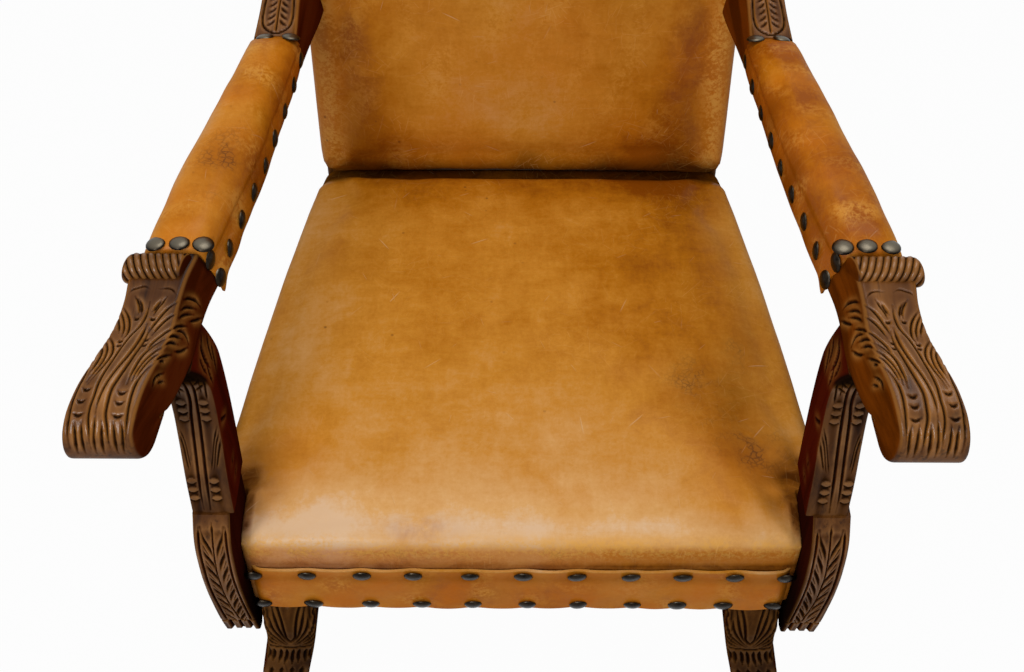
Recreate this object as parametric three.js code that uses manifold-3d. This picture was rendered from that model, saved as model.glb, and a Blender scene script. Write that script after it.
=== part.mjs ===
// Open-arm upholstered armchair: carved walnut frame with scrolled arms, sprung leather seat,
// leather back and padded leather arms. Millimetres, +Z up, the sitter faces -Y.
// Built with y = 0 at the front edge of the seat; the finished chair is moved so that the
// middle of its footprint is the origin.
import * as THREE from "three";
import { mergeVertices } from "three/addons/utils/BufferGeometryUtils.js";
import Module from "manifold-3d";

const wasm = await Module();
wasm.setup();

// Seat
const SEAT_HEIGHT = 455;
const SEAT_FRONT_WIDTH = 528;
const SEAT_SIDE_WIDTH = 604;
const SEAT_BACK_WIDTH = 475;
const SEAT_DEPTH = 513;
const SEAT_NOTCH_DEPTH = 66;
const SEAT_EDGE_RADIUS = 16;
const SEAT_CORNER_RADIUS = 12;
const SEAT_CROWN = 8;
const RAIL_HEIGHT = 68;
const RAIL_THICKNESS = 30;
const UPHOLSTERY_HEIGHT = 42;
const BAND_HEIGHT = 70;

// Back
const BACK_HEIGHT = 640;
const BACK_LIFT = 10;
const BACK_RAKE_DEG = 8;
const BACK_THICKNESS = 72;
const BACK_CORNER_RADIUS = 14;
const BACK_RAIL_HEIGHT = 50;
const POST_WIDTH = 37.7;
const POST_DEPTH = 37;
const POST_SETBACK = BACK_THICKNESS - 39;
const REAR_LEG_RAKE = 54;

// Front legs
const LEG_TOP_WIDTH = 53;
const LEG_TOP_DEPTH = 52;
const KNEE_PROJECTION = 14;
const LEG_SPLAY = 28;
const FOOT_WIDTH = 50;

// Arms and their supports
const ARM_HEIGHT = 280;
const ARM_CORE_THICKNESS = 24;
const ARM_REAR_X = 248;
const ARM_FRONT_X = 337;
const PAD_REAR_Y = SEAT_DEPTH - 88;
const PAD_FRONT_Y = 122;
const PAD_FRONT_WIDTH = 74;
const PAD_REAR_WIDTH = 52;
const ROLL_RADIUS = 15;
const GRIP_WIDTH = 56;
const GRIP_REACH = 64;
const SUPPORT_WIDTH = 37;
const SUPPORT_BREAK = 50;
const SUPPORT_LEAN = 6;
const DOWEL_DIAMETER = 14;

// Sheets, straps, springs and fits
const LEATHER = 2.5;
const CLOTH = 1.5;
const STRAP_WIDTH = 50;
const SPRING_WIRE = 3.6;
const SPRING_RADIUS = 31;
const SPRING_WAIST = 22;
const SPRING_TURNS = 4;
const GAP = 0.3;

const rake = THREE.MathUtils.degToRad(BACK_RAKE_DEG);
const railTop = SEAT_HEIGHT - UPHOLSTERY_HEIGHT;
const railBottom = railTop - RAIL_HEIGHT;
const coverBottom = railBottom - 2;
const armTop = SEAT_HEIGHT + ARM_HEIGHT;
const coreBottom = armTop - 53;
const coreTop = coreBottom + ARM_CORE_THICKNESS;
const seatRear = SEAT_DEPTH + POST_SETBACK - 3 - GAP;
const skin = LEATHER + GAP;
const postOuter = SEAT_BACK_WIDTH / 2 - skin;
const postInner = postOuter - POST_WIDTH;

const walnut = new THREE.MeshStandardMaterial({ color: 0x5a3a22, roughness: 0.42, metalness: 0 });
const leather = new THREE.MeshStandardMaterial({ color: 0xb8834c, roughness: 0.5, metalness: 0 });
const fibre = new THREE.MeshStandardMaterial({ color: 0x6b5138, roughness: 0.95, metalness: 0 });
const jute = new THREE.MeshStandardMaterial({ color: 0x9a8258, roughness: 0.9, metalness: 0 });
const lining = new THREE.MeshStandardMaterial({ color: 0x2a2521, roughness: 0.95, metalness: 0 });
const steel = new THREE.MeshStandardMaterial({ color: 0x77706a, roughness: 0.45, metalness: 1 });

const chair = new THREE.Group();
chair.name = "armchair";

function add(name, geometry, material) {
  const mesh = new THREE.Mesh(geometry, material);
  mesh.name = name;
  chair.add(mesh);
  return mesh;
}

// One piece on each side: drawn on the +X side and mirrored to -X.
function addPair(name, geometry, material) {
  add(`${name}_right`, geometry, material);
  add(`${name}_left`, geometry.clone(), material).scale.x = -1;
}

function toSolid(geometry) {
  const bare = geometry.clone();
  bare.deleteAttribute("normal");
  bare.deleteAttribute("uv");
  const welded = mergeVertices(bare, 1e-3);
  return new wasm.Manifold(new wasm.Mesh({
    numProp: 3,
    vertProperties: new Float32Array(welded.attributes.position.array),
    triVerts: new Uint32Array(welded.index.array),
  }));
}

function toGeometry(solid) {
  const mesh = solid.getMesh();
  const geometry = new THREE.BufferGeometry();
  geometry.setAttribute("position", new THREE.BufferAttribute(mesh.vertProperties, 3));
  geometry.setIndex(new THREE.BufferAttribute(mesh.triVerts, 1));
  geometry.computeVertexNormals();
  return geometry;
}

// Closed body through a row of convex loops that all have the same number of points.
function loft(loops) {
  const count = loops[0].length;
  const points = loops.flat();
  const faces = [];
  for (let ring = 0; ring < loops.length - 1; ring += 1) {
    for (let i = 0; i < count; i += 1) {
      const a = ring * count + i;
      const b = ring * count + ((i + 1) % count);
      faces.push(a, b, b + count, a, b + count, a + count);
    }
  }
  const last = (loops.length - 1) * count;
  for (let i = 1; i < count - 1; i += 1) {
    faces.push(0, i + 1, i);
    faces.push(last, last + i, last + i + 1);
  }
  let volume = 0;
  for (let i = 0; i < faces.length; i += 3) {
    const [p, q, r] = [points[faces[i]], points[faces[i + 1]], points[faces[i + 2]]];
    volume += p.dot(q.clone().cross(r));
  }
  if (volume < 0) {
    faces.reverse();
  }
  const geometry = new THREE.BufferGeometry().setFromPoints(points);
  geometry.setIndex(faces);
  geometry.computeVertexNormals();
  return geometry;
}

// Smooth curve through rows of numbers; the first number of a row is its place along the curve.
function through(rows) {
  const places = rows.map((row) => row[0]);
  const size = rows[0].length - 1;
  const values = rows.flatMap((row) => row.slice(1));
  const curve = new THREE.CubicInterpolant(places, values, size, new Float64Array(size));
  return (place) => Array.from(curve.evaluate(place));
}

function steps(from, to, count) {
  return Array.from({ length: count + 1 }, (_, i) => from + ((to - from) * i) / count);
}

// Outline of a polygon whose corners are rounded, with the same count of points for any size.
function roundedOutline(corners, radius, segments = 4) {
  const outline = [];
  corners.forEach((corner, i) => {
    const before = corners[(i + corners.length - 1) % corners.length];
    const after = corners[(i + 1) % corners.length];
    const start = corner.clone().add(before.clone().sub(corner).setLength(radius));
    const end = corner.clone().add(after.clone().sub(corner).setLength(radius));
    const arc = new THREE.QuadraticBezierCurve(start, corner, end);
    outline.push(...arc.getPoints(segments));
  });
  return outline;
}

function rectangle(width, height) {
  const [x, y] = [width / 2, height / 2];
  return [[-x, -y], [x, -y], [x, y], [-x, y]].map(([a, b]) => new THREE.Vector2(a, b));
}

function box(x0, x1, y0, y1, z0, z1) {
  const geometry = new THREE.BoxGeometry(x1 - x0, y1 - y0, z1 - z0);
  return geometry.translate((x0 + x1) / 2, (y0 + y1) / 2, (z0 + z1) / 2);
}

// Plank sawn to an outline drawn in the side view (y, z), its faces at x0 and x1, edges eased.
function sawnPlank(outline, x0, x1, ease) {
  const shape = new THREE.Shape(outline);
  const geometry = new THREE.ExtrudeGeometry(shape, {
    depth: x1 - x0 - 2 * ease,
    bevelEnabled: ease > 0,
    bevelThickness: ease,
    bevelSize: ease,
    bevelOffset: -ease,
    bevelSegments: 2,
  });
  const axes = new THREE.Matrix4().makeBasis(
    new THREE.Vector3(0, 1, 0),
    new THREE.Vector3(0, 0, 1),
    new THREE.Vector3(1, 0, 0),
  );
  return geometry.applyMatrix4(axes).translate(x0 + ease, 0, 0);
}

function curve2(points, count) {
  return new THREE.SplineCurve(points.map(([a, b]) => new THREE.Vector2(a, b))).getPoints(count);
}

// Flat sheet or board with a plan outline, lying between two heights.
function slab(outline, z0, z1) {
  const geometry = new THREE.ExtrudeGeometry(new THREE.Shape(outline), {
    depth: z1 - z0,
    bevelEnabled: false,
  });
  return geometry.translate(0, 0, z0);
}

// The upright back is drawn standing (x, depth behind its face, height) and then raked.
function raked(geometry) {
  geometry.rotateX(-rake);
  return geometry.translate(0, SEAT_DEPTH, SEAT_HEIGHT);
}

function rakedPoint(depth, height) {
  return [
    SEAT_DEPTH + depth * Math.cos(rake) + height * Math.sin(rake),
    SEAT_HEIGHT - depth * Math.sin(rake) + height * Math.cos(rake),
  ];
}

// The seat tapers from just behind the arm supports to the back; in front of that line its
// corners are notched to let the supports through.
function seatHalfWidth(y) {
  const run = SEAT_DEPTH - SEAT_NOTCH_DEPTH;
  const taper = (SEAT_SIDE_WIDTH - SEAT_BACK_WIDTH) / 2 / run;
  return SEAT_SIDE_WIDTH / 2 - taper * (y - SEAT_NOTCH_DEPTH);
}

function seatNotches(inset) {
  const x = SEAT_FRONT_WIDTH / 2 - inset;
  const y = SEAT_NOTCH_DEPTH + inset;
  const right = toSolid(box(x, x + 120, -20, y, 0, SEAT_HEIGHT + 60));
  return right.add(right.mirror([1, 0, 0]));
}

function seatPlan(inset) {
  const front = inset;
  const rear = seatRear - inset;
  const corners = [
    [-seatHalfWidth(front) + inset, front],
    [seatHalfWidth(front) - inset, front],
    [seatHalfWidth(rear) - inset, rear],
    [-seatHalfWidth(rear) + inset, rear],
  ].map(([x, y]) => new THREE.Vector2(x, y));
  return roundedOutline(corners, SEAT_CORNER_RADIUS);
}

// Upholstered seat body: straight sides, a rounded edge and a low crown.
function seatBody(inset, bottom) {
  const top = SEAT_HEIGHT - inset;
  const rows = [
    [bottom, 0],
    [top - SEAT_EDGE_RADIUS, 0],
    [top - SEAT_EDGE_RADIUS * 0.4, SEAT_EDGE_RADIUS * 0.2],
    [top - SEAT_EDGE_RADIUS * 0.1, SEAT_EDGE_RADIUS * 0.6],
    [top, SEAT_EDGE_RADIUS * 1.1],
    [top + SEAT_CROWN * 0.6, 75],
    [top + SEAT_CROWN, 150],
  ];
  const whole = loft(rows.map(([z, shrink]) => (
    seatPlan(inset + shrink).map((p) => new THREE.Vector3(p.x, p.y, z))
  )));
  return toSolid(whole).subtract(seatNotches(inset));
}

// Upholstered back body in its own standing frame.
function backBody(inset, rearDepth, lower = BACK_LIFT) {
  const edge = Math.min(20, POST_SETBACK - skin - 1);
  const rows = [
    [inset, 34],
    [inset + edge * 0.12, 15],
    [inset + edge * 0.42, 5],
    [inset + edge, 0],
    [rearDepth, 0],
  ];
  const middle = (lower + BACK_HEIGHT) / 2;
  return loft(rows.map(([depth, shrink]) => {
    const trim = 2 * (inset + shrink);
    const corners = rectangle(SEAT_BACK_WIDTH - trim, BACK_HEIGHT - lower - trim);
    return roundedOutline(corners, BACK_CORNER_RADIUS).map((p) => new THREE.Vector3(p.x, depth, middle + p.y));
  }));
}

// Front legs: square block in the seat frame, projecting knee, outward sweep and a small foot.
const legX = SEAT_FRONT_WIDTH / 2 - skin - GAP - LEG_TOP_WIDTH / 2;
const legY = skin + LEG_TOP_DEPTH / 2;
const legRows = [
  [0, 0.88, -10, FOOT_WIDTH, 52],
  [0.03, 0.9, -10, FOOT_WIDTH + 2, 54],
  [0.1, 0.95, -10, FOOT_WIDTH - 6, 46],
  [0.24, 1, -12, FOOT_WIDTH - 9, 44],
  [0.42, 0.95, -13, FOOT_WIDTH - 4, 48],
  [0.59, 0.65, -13, FOOT_WIDTH, 52],
  [0.76, 0.22, -12, FOOT_WIDTH - 1, 56],
  [0.86, 0.05, -11, LEG_TOP_WIDTH - 2, 62],
  [0.93, 0, 4 - KNEE_PROJECTION, LEG_TOP_WIDTH + 1, 64],
  [0.98, 0, -5, LEG_TOP_WIDTH + 1, 58],
  [1, 0, 0, LEG_TOP_WIDTH, LEG_TOP_DEPTH],
];
const legShape = through(legRows);
const legLoops = steps(0, 1, 24).map((t) => {
  const [sweep, forward, width, depth] = legShape(t);
  const radius = t > 0.97 ? 3 : 11;
  return roundedOutline(rectangle(width, depth), radius, 3).map((p) => new THREE.Vector3(
    legX + LEG_SPLAY * sweep + p.x,
    legY + forward + p.y,
    (coverBottom - GAP) * t,
  ));
});
const legBlockPlan = roundedOutline(rectangle(LEG_TOP_WIDTH, LEG_TOP_DEPTH), SEAT_CORNER_RADIUS)
  .map((p) => new THREE.Vector2(legX + p.x, legY + p.y));
const legBlock = slab(legBlockPlan, coverBottom - 10, railTop);
addPair("front_leg", toGeometry(toSolid(loft(legLoops)).add(toSolid(legBlock))), walnut);

// Rear posts: one piece each, leg raked backwards below the seat and upright above it.
const postFront = SEAT_DEPTH + POST_SETBACK - 3;
const postRear = postFront + POST_DEPTH + 2;
const rearLegFront = curve2([
  [postFront + REAR_LEG_RAKE, 0],
  [postFront + REAR_LEG_RAKE * 0.68, railBottom * 0.3],
  [postFront + REAR_LEG_RAKE * 0.27, railBottom * 0.65],
  [postFront + 0.5, railBottom - 2],
], 8);
const rearLegRear = curve2([
  [postRear, railBottom],
  [postRear + REAR_LEG_RAKE * 0.2, railBottom * 0.65],
  [postRear + REAR_LEG_RAKE * 0.6, railBottom * 0.3],
  [postRear + REAR_LEG_RAKE * 0.9, 0],
], 8);
const postTop = BACK_HEIGHT - skin - BACK_CORNER_RADIUS;
const postOutline = [
  ...rearLegRear.reverse(),
  new THREE.Vector2(postRear, railTop + 14),
  new THREE.Vector2(...rakedPoint(POST_SETBACK + POST_DEPTH, 40)),
  new THREE.Vector2(...rakedPoint(POST_SETBACK + POST_DEPTH, postTop)),
  new THREE.Vector2(...rakedPoint(POST_SETBACK, postTop)),
  new THREE.Vector2(...rakedPoint(POST_SETBACK, 40)),
  new THREE.Vector2(postFront, railTop + 14),
  ...rearLegFront.reverse(),
];
addPair("rear_post", sawnPlank(postOutline, postInner, postOuter, 2), walnut);

// Seat rails
const railRearY = postFront - GAP;
const railFrontY = skin + LEG_TOP_DEPTH + GAP;
const notchX = SEAT_FRONT_WIDTH / 2 - skin;
const notchY = SEAT_NOTCH_DEPTH + skin;
const legInner = legX - LEG_TOP_WIDTH / 2;
const sideRail = [
  [notchX, railFrontY],
  [notchX, notchY],
  [seatHalfWidth(notchY) - skin, notchY],
  [seatHalfWidth(railRearY) - skin, railRearY],
  [seatHalfWidth(railRearY) - skin - RAIL_THICKNESS, railRearY],
  [seatHalfWidth(notchY + 80) - skin - RAIL_THICKNESS, notchY + 80],
  [legInner + 20, notchY + 6],
  [legInner + 20, railFrontY],
].map(([x, y]) => new THREE.Vector2(x, y));
addPair("side_rail", slab(sideRail, railBottom, railTop), walnut);
const frontRailHalf = legX - LEG_TOP_WIDTH / 2 - GAP;
const frontRail = box(-frontRailHalf, frontRailHalf, skin, skin + RAIL_THICKNESS, railBottom, railTop);
add("front_rail", frontRail, walnut);
const rearRailHalf = postInner - GAP;
const rearRailY = postFront + 3;
const rearRail = box(
  -rearRailHalf, rearRailHalf, rearRailY, rearRailY + RAIL_THICKNESS, railBottom, railTop,
);
add("rear_rail", rearRail, walnut);

// Webbing under the seat: three straps each way, with a coil spring on every crossing.
const strapTop = railBottom - GAP;
const crossTop = strapTop - CLOTH - GAP;
const strapX = [-122, 0, 122];
const strapY = [0.26, 0.51, 0.76].map((share) => share * seatRear);
strapX.forEach((x, i) => {
  const strap = box(
    x - STRAP_WIDTH / 2, x + STRAP_WIDTH / 2, skin + 4, rearRailY + RAIL_THICKNESS - 4,
    strapTop - CLOTH, strapTop,
  );
  add(`seat_strap_long_${i + 1}`, strap, jute);
});
strapY.forEach((y, i) => {
  const half = seatHalfWidth(y + STRAP_WIDTH / 2) - skin - 4;
  const strap = box(
    -half, half, y - STRAP_WIDTH / 2, y + STRAP_WIDTH / 2, crossTop - CLOTH, crossTop,
  );
  add(`seat_strap_cross_${i + 1}`, strap, jute);
});

// Waisted coil spring: round wire wound about an upright axis, both end coils lying flat.
function coilSpring(cx, cy, z0, z1) {
  const perTurn = 12;
  const segments = SPRING_TURNS * perTurn;
  const wire = SPRING_WIRE / 2;
  const centre = (i) => {
    const t = i / segments;
    const rise = THREE.MathUtils.smoothstep(t, 0.08, 0.92) * 0.5 + 0.5 * THREE.MathUtils.clamp(
      (t - 0.12) / 0.76, 0, 1,
    );
    const radius = SPRING_WAIST + (SPRING_RADIUS - SPRING_WAIST) * (2 * t - 1) ** 2;
    const turn = (i / perTurn) * 2 * Math.PI;
    return new THREE.Vector3(
      cx + radius * Math.cos(turn),
      cy + radius * Math.sin(turn),
      z0 + wire + (z1 - z0 - SPRING_WIRE) * rise,
    );
  };
  const loops = steps(0, segments, segments).map((i) => {
    const turn = (i / perTurn) * 2 * Math.PI;
    const out = new THREE.Vector3(Math.cos(turn), Math.sin(turn), 0);
    return steps(0, 4, 4).map((k) => {
      const angle = (k / 5) * 2 * Math.PI;
      return centre(i)
        .addScaledVector(out, wire * Math.cos(angle))
        .add(new THREE.Vector3(0, 0, wire * Math.sin(angle)));
    });
  });
  return loft(loops);
}
const canvasBottom = railTop + GAP;
strapX.forEach((x, i) => {
  strapY.forEach((y, j) => {
    const spring = coilSpring(x, y, strapTop + GAP, canvasBottom - GAP);
    add(`seat_spring_${i * 3 + j + 1}`, spring, steel);
  });
});

// Seat canvas, stuffing, leather cover, nailed front band and the lining under the frame
const canvasTop = canvasBottom + CLOTH;
const canvas = toSolid(slab(seatPlan(skin + 0.4), canvasBottom, canvasTop));
add("seat_canvas", toGeometry(canvas.subtract(seatNotches(skin + 0.4))), jute);
add("seat_stuffing", toGeometry(seatBody(skin, canvasTop + GAP)), fibre);
const seatShell = seatBody(0, coverBottom).subtract(seatBody(LEATHER, coverBottom - 10));
const rearOpening = box(-400, 400, seatRear - 18, seatRear + 12, coverBottom - 20, canvasBottom - 0.1);
add("seat_leather", toGeometry(seatShell.subtract(toSolid(rearOpening))), leather);
const bandHalf = SEAT_FRONT_WIDTH / 2 - 3;
const band = box(-bandHalf, bandHalf, -GAP - LEATHER, -GAP, coverBottom, coverBottom + BAND_HEIGHT);
add("front_band", band, leather);
const liningTop = crossTop - CLOTH - GAP;
const liningHalf = legX - LEG_TOP_WIDTH / 2 - 4;
const liningPlan = [
  [-liningHalf, 6],
  [liningHalf, 6],
  [liningHalf, notchY + 8],
  [seatHalfWidth(notchY + 8) - 7, notchY + 8],
  [seatHalfWidth(railRearY - 4) - 7, railRearY - 4],
  [rearRailHalf - 2, railRearY - 4],
  [rearRailHalf - 2, rearRailY + RAIL_THICKNESS - 2],
];
const mirroredPlan = liningPlan.slice(2).reverse().map(([x, y]) => [-x, y]);
const liningOutline = [...liningPlan, ...mirroredPlan].map(([x, y]) => new THREE.Vector2(x, y));
add("seat_lining", slab(liningOutline, liningTop - CLOTH, liningTop), lining);

// Back: rails between the posts, webbing, stuffing, leather cover and the outside panel
const backRail = (h0, h1) => raked(box(
  -rearRailHalf, rearRailHalf, POST_SETBACK, POST_SETBACK + RAIL_THICKNESS, h0, h1,
));
add("back_top_rail", backRail(BACK_HEIGHT - skin - BACK_RAIL_HEIGHT, BACK_HEIGHT - skin), walnut);
add("back_lower_rail", backRail(14, 14 + BACK_RAIL_HEIGHT), walnut);
const backStrapFace = POST_SETBACK - GAP;
[-105, 105].forEach((x, i) => {
  const strap = box(
    x - STRAP_WIDTH / 2, x + STRAP_WIDTH / 2, backStrapFace - CLOTH, backStrapFace, 22, postTop - 8,
  );
  add(`back_strap_upright_${i + 1}`, raked(strap), jute);
});
const crossFace = backStrapFace - CLOTH - GAP;
[0.27, 0.52, 0.77].forEach((share, i) => {
  const h = BACK_HEIGHT * share;
  const half = postOuter - 8;
  const strap = box(-half, half, crossFace - CLOTH, crossFace, h - STRAP_WIDTH / 2, h + STRAP_WIDTH / 2);
  add(`back_strap_cross_${i + 1}`, raked(strap), jute);
});
add("back_stuffing", raked(backBody(skin, crossFace - CLOTH - GAP)), fibre);
const postNotch = (side) => toSolid(box(
  side * (postInner + postOuter) / 2 - POST_WIDTH / 2 - GAP,
  side * (postInner + postOuter) / 2 + POST_WIDTH / 2 + 6,
  POST_SETBACK - GAP - 1, BACK_THICKNESS + 10, -10, 28,
));
const backShell = toSolid(backBody(0, BACK_THICKNESS))
  .subtract(toSolid(backBody(LEATHER, BACK_THICKNESS + 10)))
  .subtract(postNotch(1))
  .subtract(postNotch(-1).translate(-6 + GAP, 0, 0));
add("back_leather", raked(toGeometry(backShell)), leather);
const outsideFace = POST_SETBACK + POST_DEPTH + GAP;
const outsideHalf = SEAT_BACK_WIDTH / 2 - LEATHER - GAP;
const outsideTop = BACK_HEIGHT - skin;
const outsideOutline = roundedOutline(rectangle(2 * outsideHalf, outsideTop - 42), BACK_CORNER_RADIUS);
const outsidePanel = slab(outsideOutline, 0, LEATHER)
  .rotateX(Math.PI / 2)
  .translate(0, outsideFace + LEATHER, (outsideTop + 42) / 2);
add("back_outside_leather", raked(outsidePanel), leather);

// Arms: the section stays parallel to X while the arm flares outwards; each row gives the top
// point and the bottom point of a section in the side view, its middle x and width at the top,
// and how far its inner side spreads towards the bottom.
const flare = ARM_FRONT_X - ARM_REAR_X;
function armSections(rows, count, radius) {
  const shape = through(rows);
  return loft(steps(rows[0][0], rows.at(-1)[0], count).map((t) => {
    const [yTop, zTop, yLow, zLow, cx, width, spread] = shape(t);
    const top = new THREE.Vector3(cx, yTop, zTop);
    const low = new THREE.Vector3(cx, yLow, zLow);
    const height = top.distanceTo(low);
    const corner = Math.min(radius, height * 0.45, width * 0.45);
    const half = width / 2;
    const corners = [[-half - spread, 0], [half, 0], [half, height], [-half, height]];
    const outline = roundedOutline(corners.map(([x, h]) => new THREE.Vector2(x, h)), corner, 3);
    return outline.map((p) => (
      low.clone().lerp(top, p.y / height).add(new THREE.Vector3(p.x, 0, 0))
    ));
  }));
}

// Share of the flare reached at a distance from the seat's front edge.
const flareAt = through([
  [-80, 1.02], [-64, 1], [-30, 0.925], [0, 0.835], [37, 0.735], [70, 0.7], [90, 0.68],
  [122, 0.575], [182, 0.41], [233, 0.303], [288, 0.195], [345, 0.095], [402, 0.01], [425, 0],
  [470, 0], [640, 0],
]);
const armX = (y) => ARM_REAR_X + flare * flareAt(y)[0];

const backAt = (y) => SEAT_DEPTH + y;
const rearBlock = armSections([
  [0, backAt(99), armTop + 17, backAt(99), coreBottom - 34, armX(backAt(99)), 39, 0],
  [1, backAt(52), armTop + 9, backAt(52), coreBottom - 27, armX(backAt(52)), 39, 0],
  [2, backAt(2), armTop - 2, backAt(2), coreBottom - 14, armX(backAt(2)), 39, 0],
  [3, backAt(-45), armTop - 9, backAt(-45), coreBottom - 4, armX(backAt(-45)), 40, 0],
  [4, PAD_REAR_Y, armTop - 14, PAD_REAR_Y, coreBottom, armX(PAD_REAR_Y), 44, 0],
], 10, 8);

// Width over the leather along the padded length.
const padWidthAt = through([
  [PAD_FRONT_Y, PAD_FRONT_WIDTH - 2], [182, PAD_FRONT_WIDTH], [233, PAD_FRONT_WIDTH - 4],
  [288, PAD_REAR_WIDTH + 13], [345, PAD_REAR_WIDTH + 7], [PAD_REAR_Y, PAD_REAR_WIDTH],
]);
const padWidth = (y) => padWidthAt(THREE.MathUtils.clamp(y, PAD_FRONT_Y, PAD_REAR_Y))[0];
const padStations = steps(PAD_REAR_Y - GAP, PAD_FRONT_Y + GAP, 14);
const coreStations = [PAD_REAR_Y + 8, ...padStations, PAD_FRONT_Y - 8];
const coreRows = coreStations.map((y, i) => (
  [i, y, coreTop, y, coreBottom, armX(y), padWidth(y) - 2 * skin, 0]
));
const core = armSections(coreRows, coreRows.length - 1, 3);

const tip = -GRIP_REACH;
const neckX = armX(70) + 1;
const handgrip = armSections([
  [0, PAD_FRONT_Y, armTop - 13, PAD_FRONT_Y, coreBottom, armX(PAD_FRONT_Y) + 8, GRIP_WIDTH - 2, 14],
  [1, 96, armTop - 13, 96, coreBottom + 1, armX(96) + 3, GRIP_WIDTH - 6, 14],
  [2, 70, armTop - 14, 70, coreBottom + 2, neckX, GRIP_WIDTH - 9, 14],
  [3, 37, armTop - 14, 37, coreBottom + 2, armX(37), GRIP_WIDTH - 6, 13],
  [4, 5, armTop - 13, 6, coreBottom - 1, armX(5), GRIP_WIDTH - 3, 12],
  [5, tip + 38, armTop - 15, tip + 48, coreBottom - 3, armX(tip + 38), GRIP_WIDTH - 1, 12],
  [6, tip + 18, armTop - 22, tip + 38, coreBottom - 5, armX(tip + 18), GRIP_WIDTH, 13],
  [7, tip + 5, armTop - 33, tip + 32, coreBottom - 6, armX(tip + 5), GRIP_WIDTH, 13],
  [8, tip, armTop - 46, tip + 28, coreBottom - 6, armX(tip), GRIP_WIDTH, 12],
  [9, tip + 3, armTop - 58, tip + 25, coreBottom - 7, armX(tip), GRIP_WIDTH - 1, 10],
  [10, tip + 11, armTop - 65, tip + 22, coreBottom - 9, armX(tip), GRIP_WIDTH - 4, 8],
], 30, 9);

// Transverse half-round roll between the pad and the grip, sheared with the arm's flare.
const rollY = PAD_FRONT_Y - ROLL_RADIUS - 1;
const rollX = armX(rollY) + 4;
const roll = new THREE.CylinderGeometry(ROLL_RADIUS, ROLL_RADIUS, GRIP_WIDTH + 2, 20);
roll.rotateZ(Math.PI / 2);
roll.applyMatrix4(new THREE.Matrix4().makeShear(0, 0, -0.3, 0, 0, 0));
roll.translate(rollX, rollY, armTop - ROLL_RADIUS);

const backClearance = toSolid(raked(backBody(-GAP, BACK_THICKNESS + 40, 0)));
const armDowelX = neckX - 20;
const dowelRadius = DOWEL_DIAMETER / 2;
const bore = (x, y, z0, z1) => {
  const hole = new THREE.CylinderGeometry(dowelRadius + GAP, dowelRadius + GAP, z1 - z0, 16);
  return toSolid(hole.rotateX(Math.PI / 2).translate(x, y, (z0 + z1) / 2));
};
const peg = (x, y, z0, z1) => {
  const geometry = new THREE.CylinderGeometry(dowelRadius, dowelRadius, z1 - z0, 16);
  return geometry.rotateX(Math.PI / 2).translate(x, y, (z0 + z1) / 2);
};
const armBlank = toSolid(rearBlock)
  .add(toSolid(core))
  .add(toSolid(handgrip))
  .add(toSolid(roll))
  .subtract(backClearance);
const arm = armBlank.subtract(bore(armDowelX, 48, coreBottom - 30, coreBottom + 22));
addPair("arm", toGeometry(arm), walnut);

// Padded arm top: stuffing on the core and a leather cover down both sides.
const crownAt = through([
  [PAD_FRONT_Y, armTop - 13], [PAD_FRONT_Y + 14, armTop - 5], [182, armTop + 2],
  [260, armTop + 3], [350, armTop + 1], [PAD_REAR_Y - 14, armTop - 8], [PAD_REAR_Y, armTop - 16],
]);
function padLoop(y, inset, bottom) {
  const half = padWidth(y) / 2 - inset;
  const top = crownAt(y)[0] - inset;
  const shoulder = armTop - 30;
  const arch = steps(0, Math.PI, 10).map((angle) => {
    const across = Math.sign(Math.cos(angle)) * Math.abs(Math.cos(angle)) ** 0.75;
    const lift = Math.max(Math.sin(angle), 0) ** 0.85;
    return new THREE.Vector3(armX(y) + half * across, y, shoulder + (top - shoulder) * lift);
  });
  const left = new THREE.Vector3(armX(y) - half, y, bottom);
  const right = new THREE.Vector3(armX(y) + half, y, bottom);
  return [right, ...arch, left];
}
function padBody(inset, bottom, overrun = 0) {
  const loops = padStations.map((y) => padLoop(y, inset, bottom));
  if (overrun > 0) {
    const shifted = (loop, dy) => loop.map((p) => p.clone().add(new THREE.Vector3(0, dy, 0)));
    loops.unshift(shifted(loops[0], overrun));
    loops.push(shifted(loops.at(-1), -overrun));
  }
  return loft(loops);
}
const padStuffing = toSolid(padBody(skin, coreBottom)).trimByPlane([0, 0, 1], coreTop + GAP);
addPair("arm_stuffing", toGeometry(padStuffing), fibre);
const armCover = toSolid(padBody(0, coreBottom + 4)).subtract(
  toSolid(padBody(LEATHER, coreBottom - 5, 5)),
);
addPair("arm_leather", toGeometry(armCover), leather);

// Arm supports: an S-scroll in two lengths, the upper one hollow forwards, the lower one full.
const breakZ = SEAT_HEIGHT + SUPPORT_BREAK;
const supportX = SEAT_FRONT_WIDTH / 2 + GAP;
const rise = coreBottom - breakZ;
const upperOutline = [
  ...curve2([
    [0, breakZ + GAP], [9, breakZ + rise * 0.2], [23, breakZ + rise * 0.42],
    [34, breakZ + rise * 0.62], [37, breakZ + rise * 0.76], [31, breakZ + rise * 0.9],
    [18, breakZ + rise * 1.03],
  ], 14),
  ...curve2([
    [66, breakZ + rise * 1.05], [78, breakZ + rise * 0.86], [82, breakZ + rise * 0.67],
    [79, breakZ + rise * 0.48], [71, breakZ + rise * 0.25], [60, breakZ + GAP],
  ], 12),
];
const upperBlank = sawnPlank(upperOutline.reverse(), supportX, supportX + SUPPORT_WIDTH, 2.5);
const leanPerMm = SUPPORT_LEAN / rise;
upperBlank.translate(0, 0, -breakZ);
upperBlank.applyMatrix4(new THREE.Matrix4().set(1, 0, leanPerMm, 0, 0, 1, 0, 0, 0, 0, 1, 0, 0, 0, 0, 1));
upperBlank.translate(0, 0, breakZ);
const seatDowelX = supportX + SUPPORT_WIDTH / 2;
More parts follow.
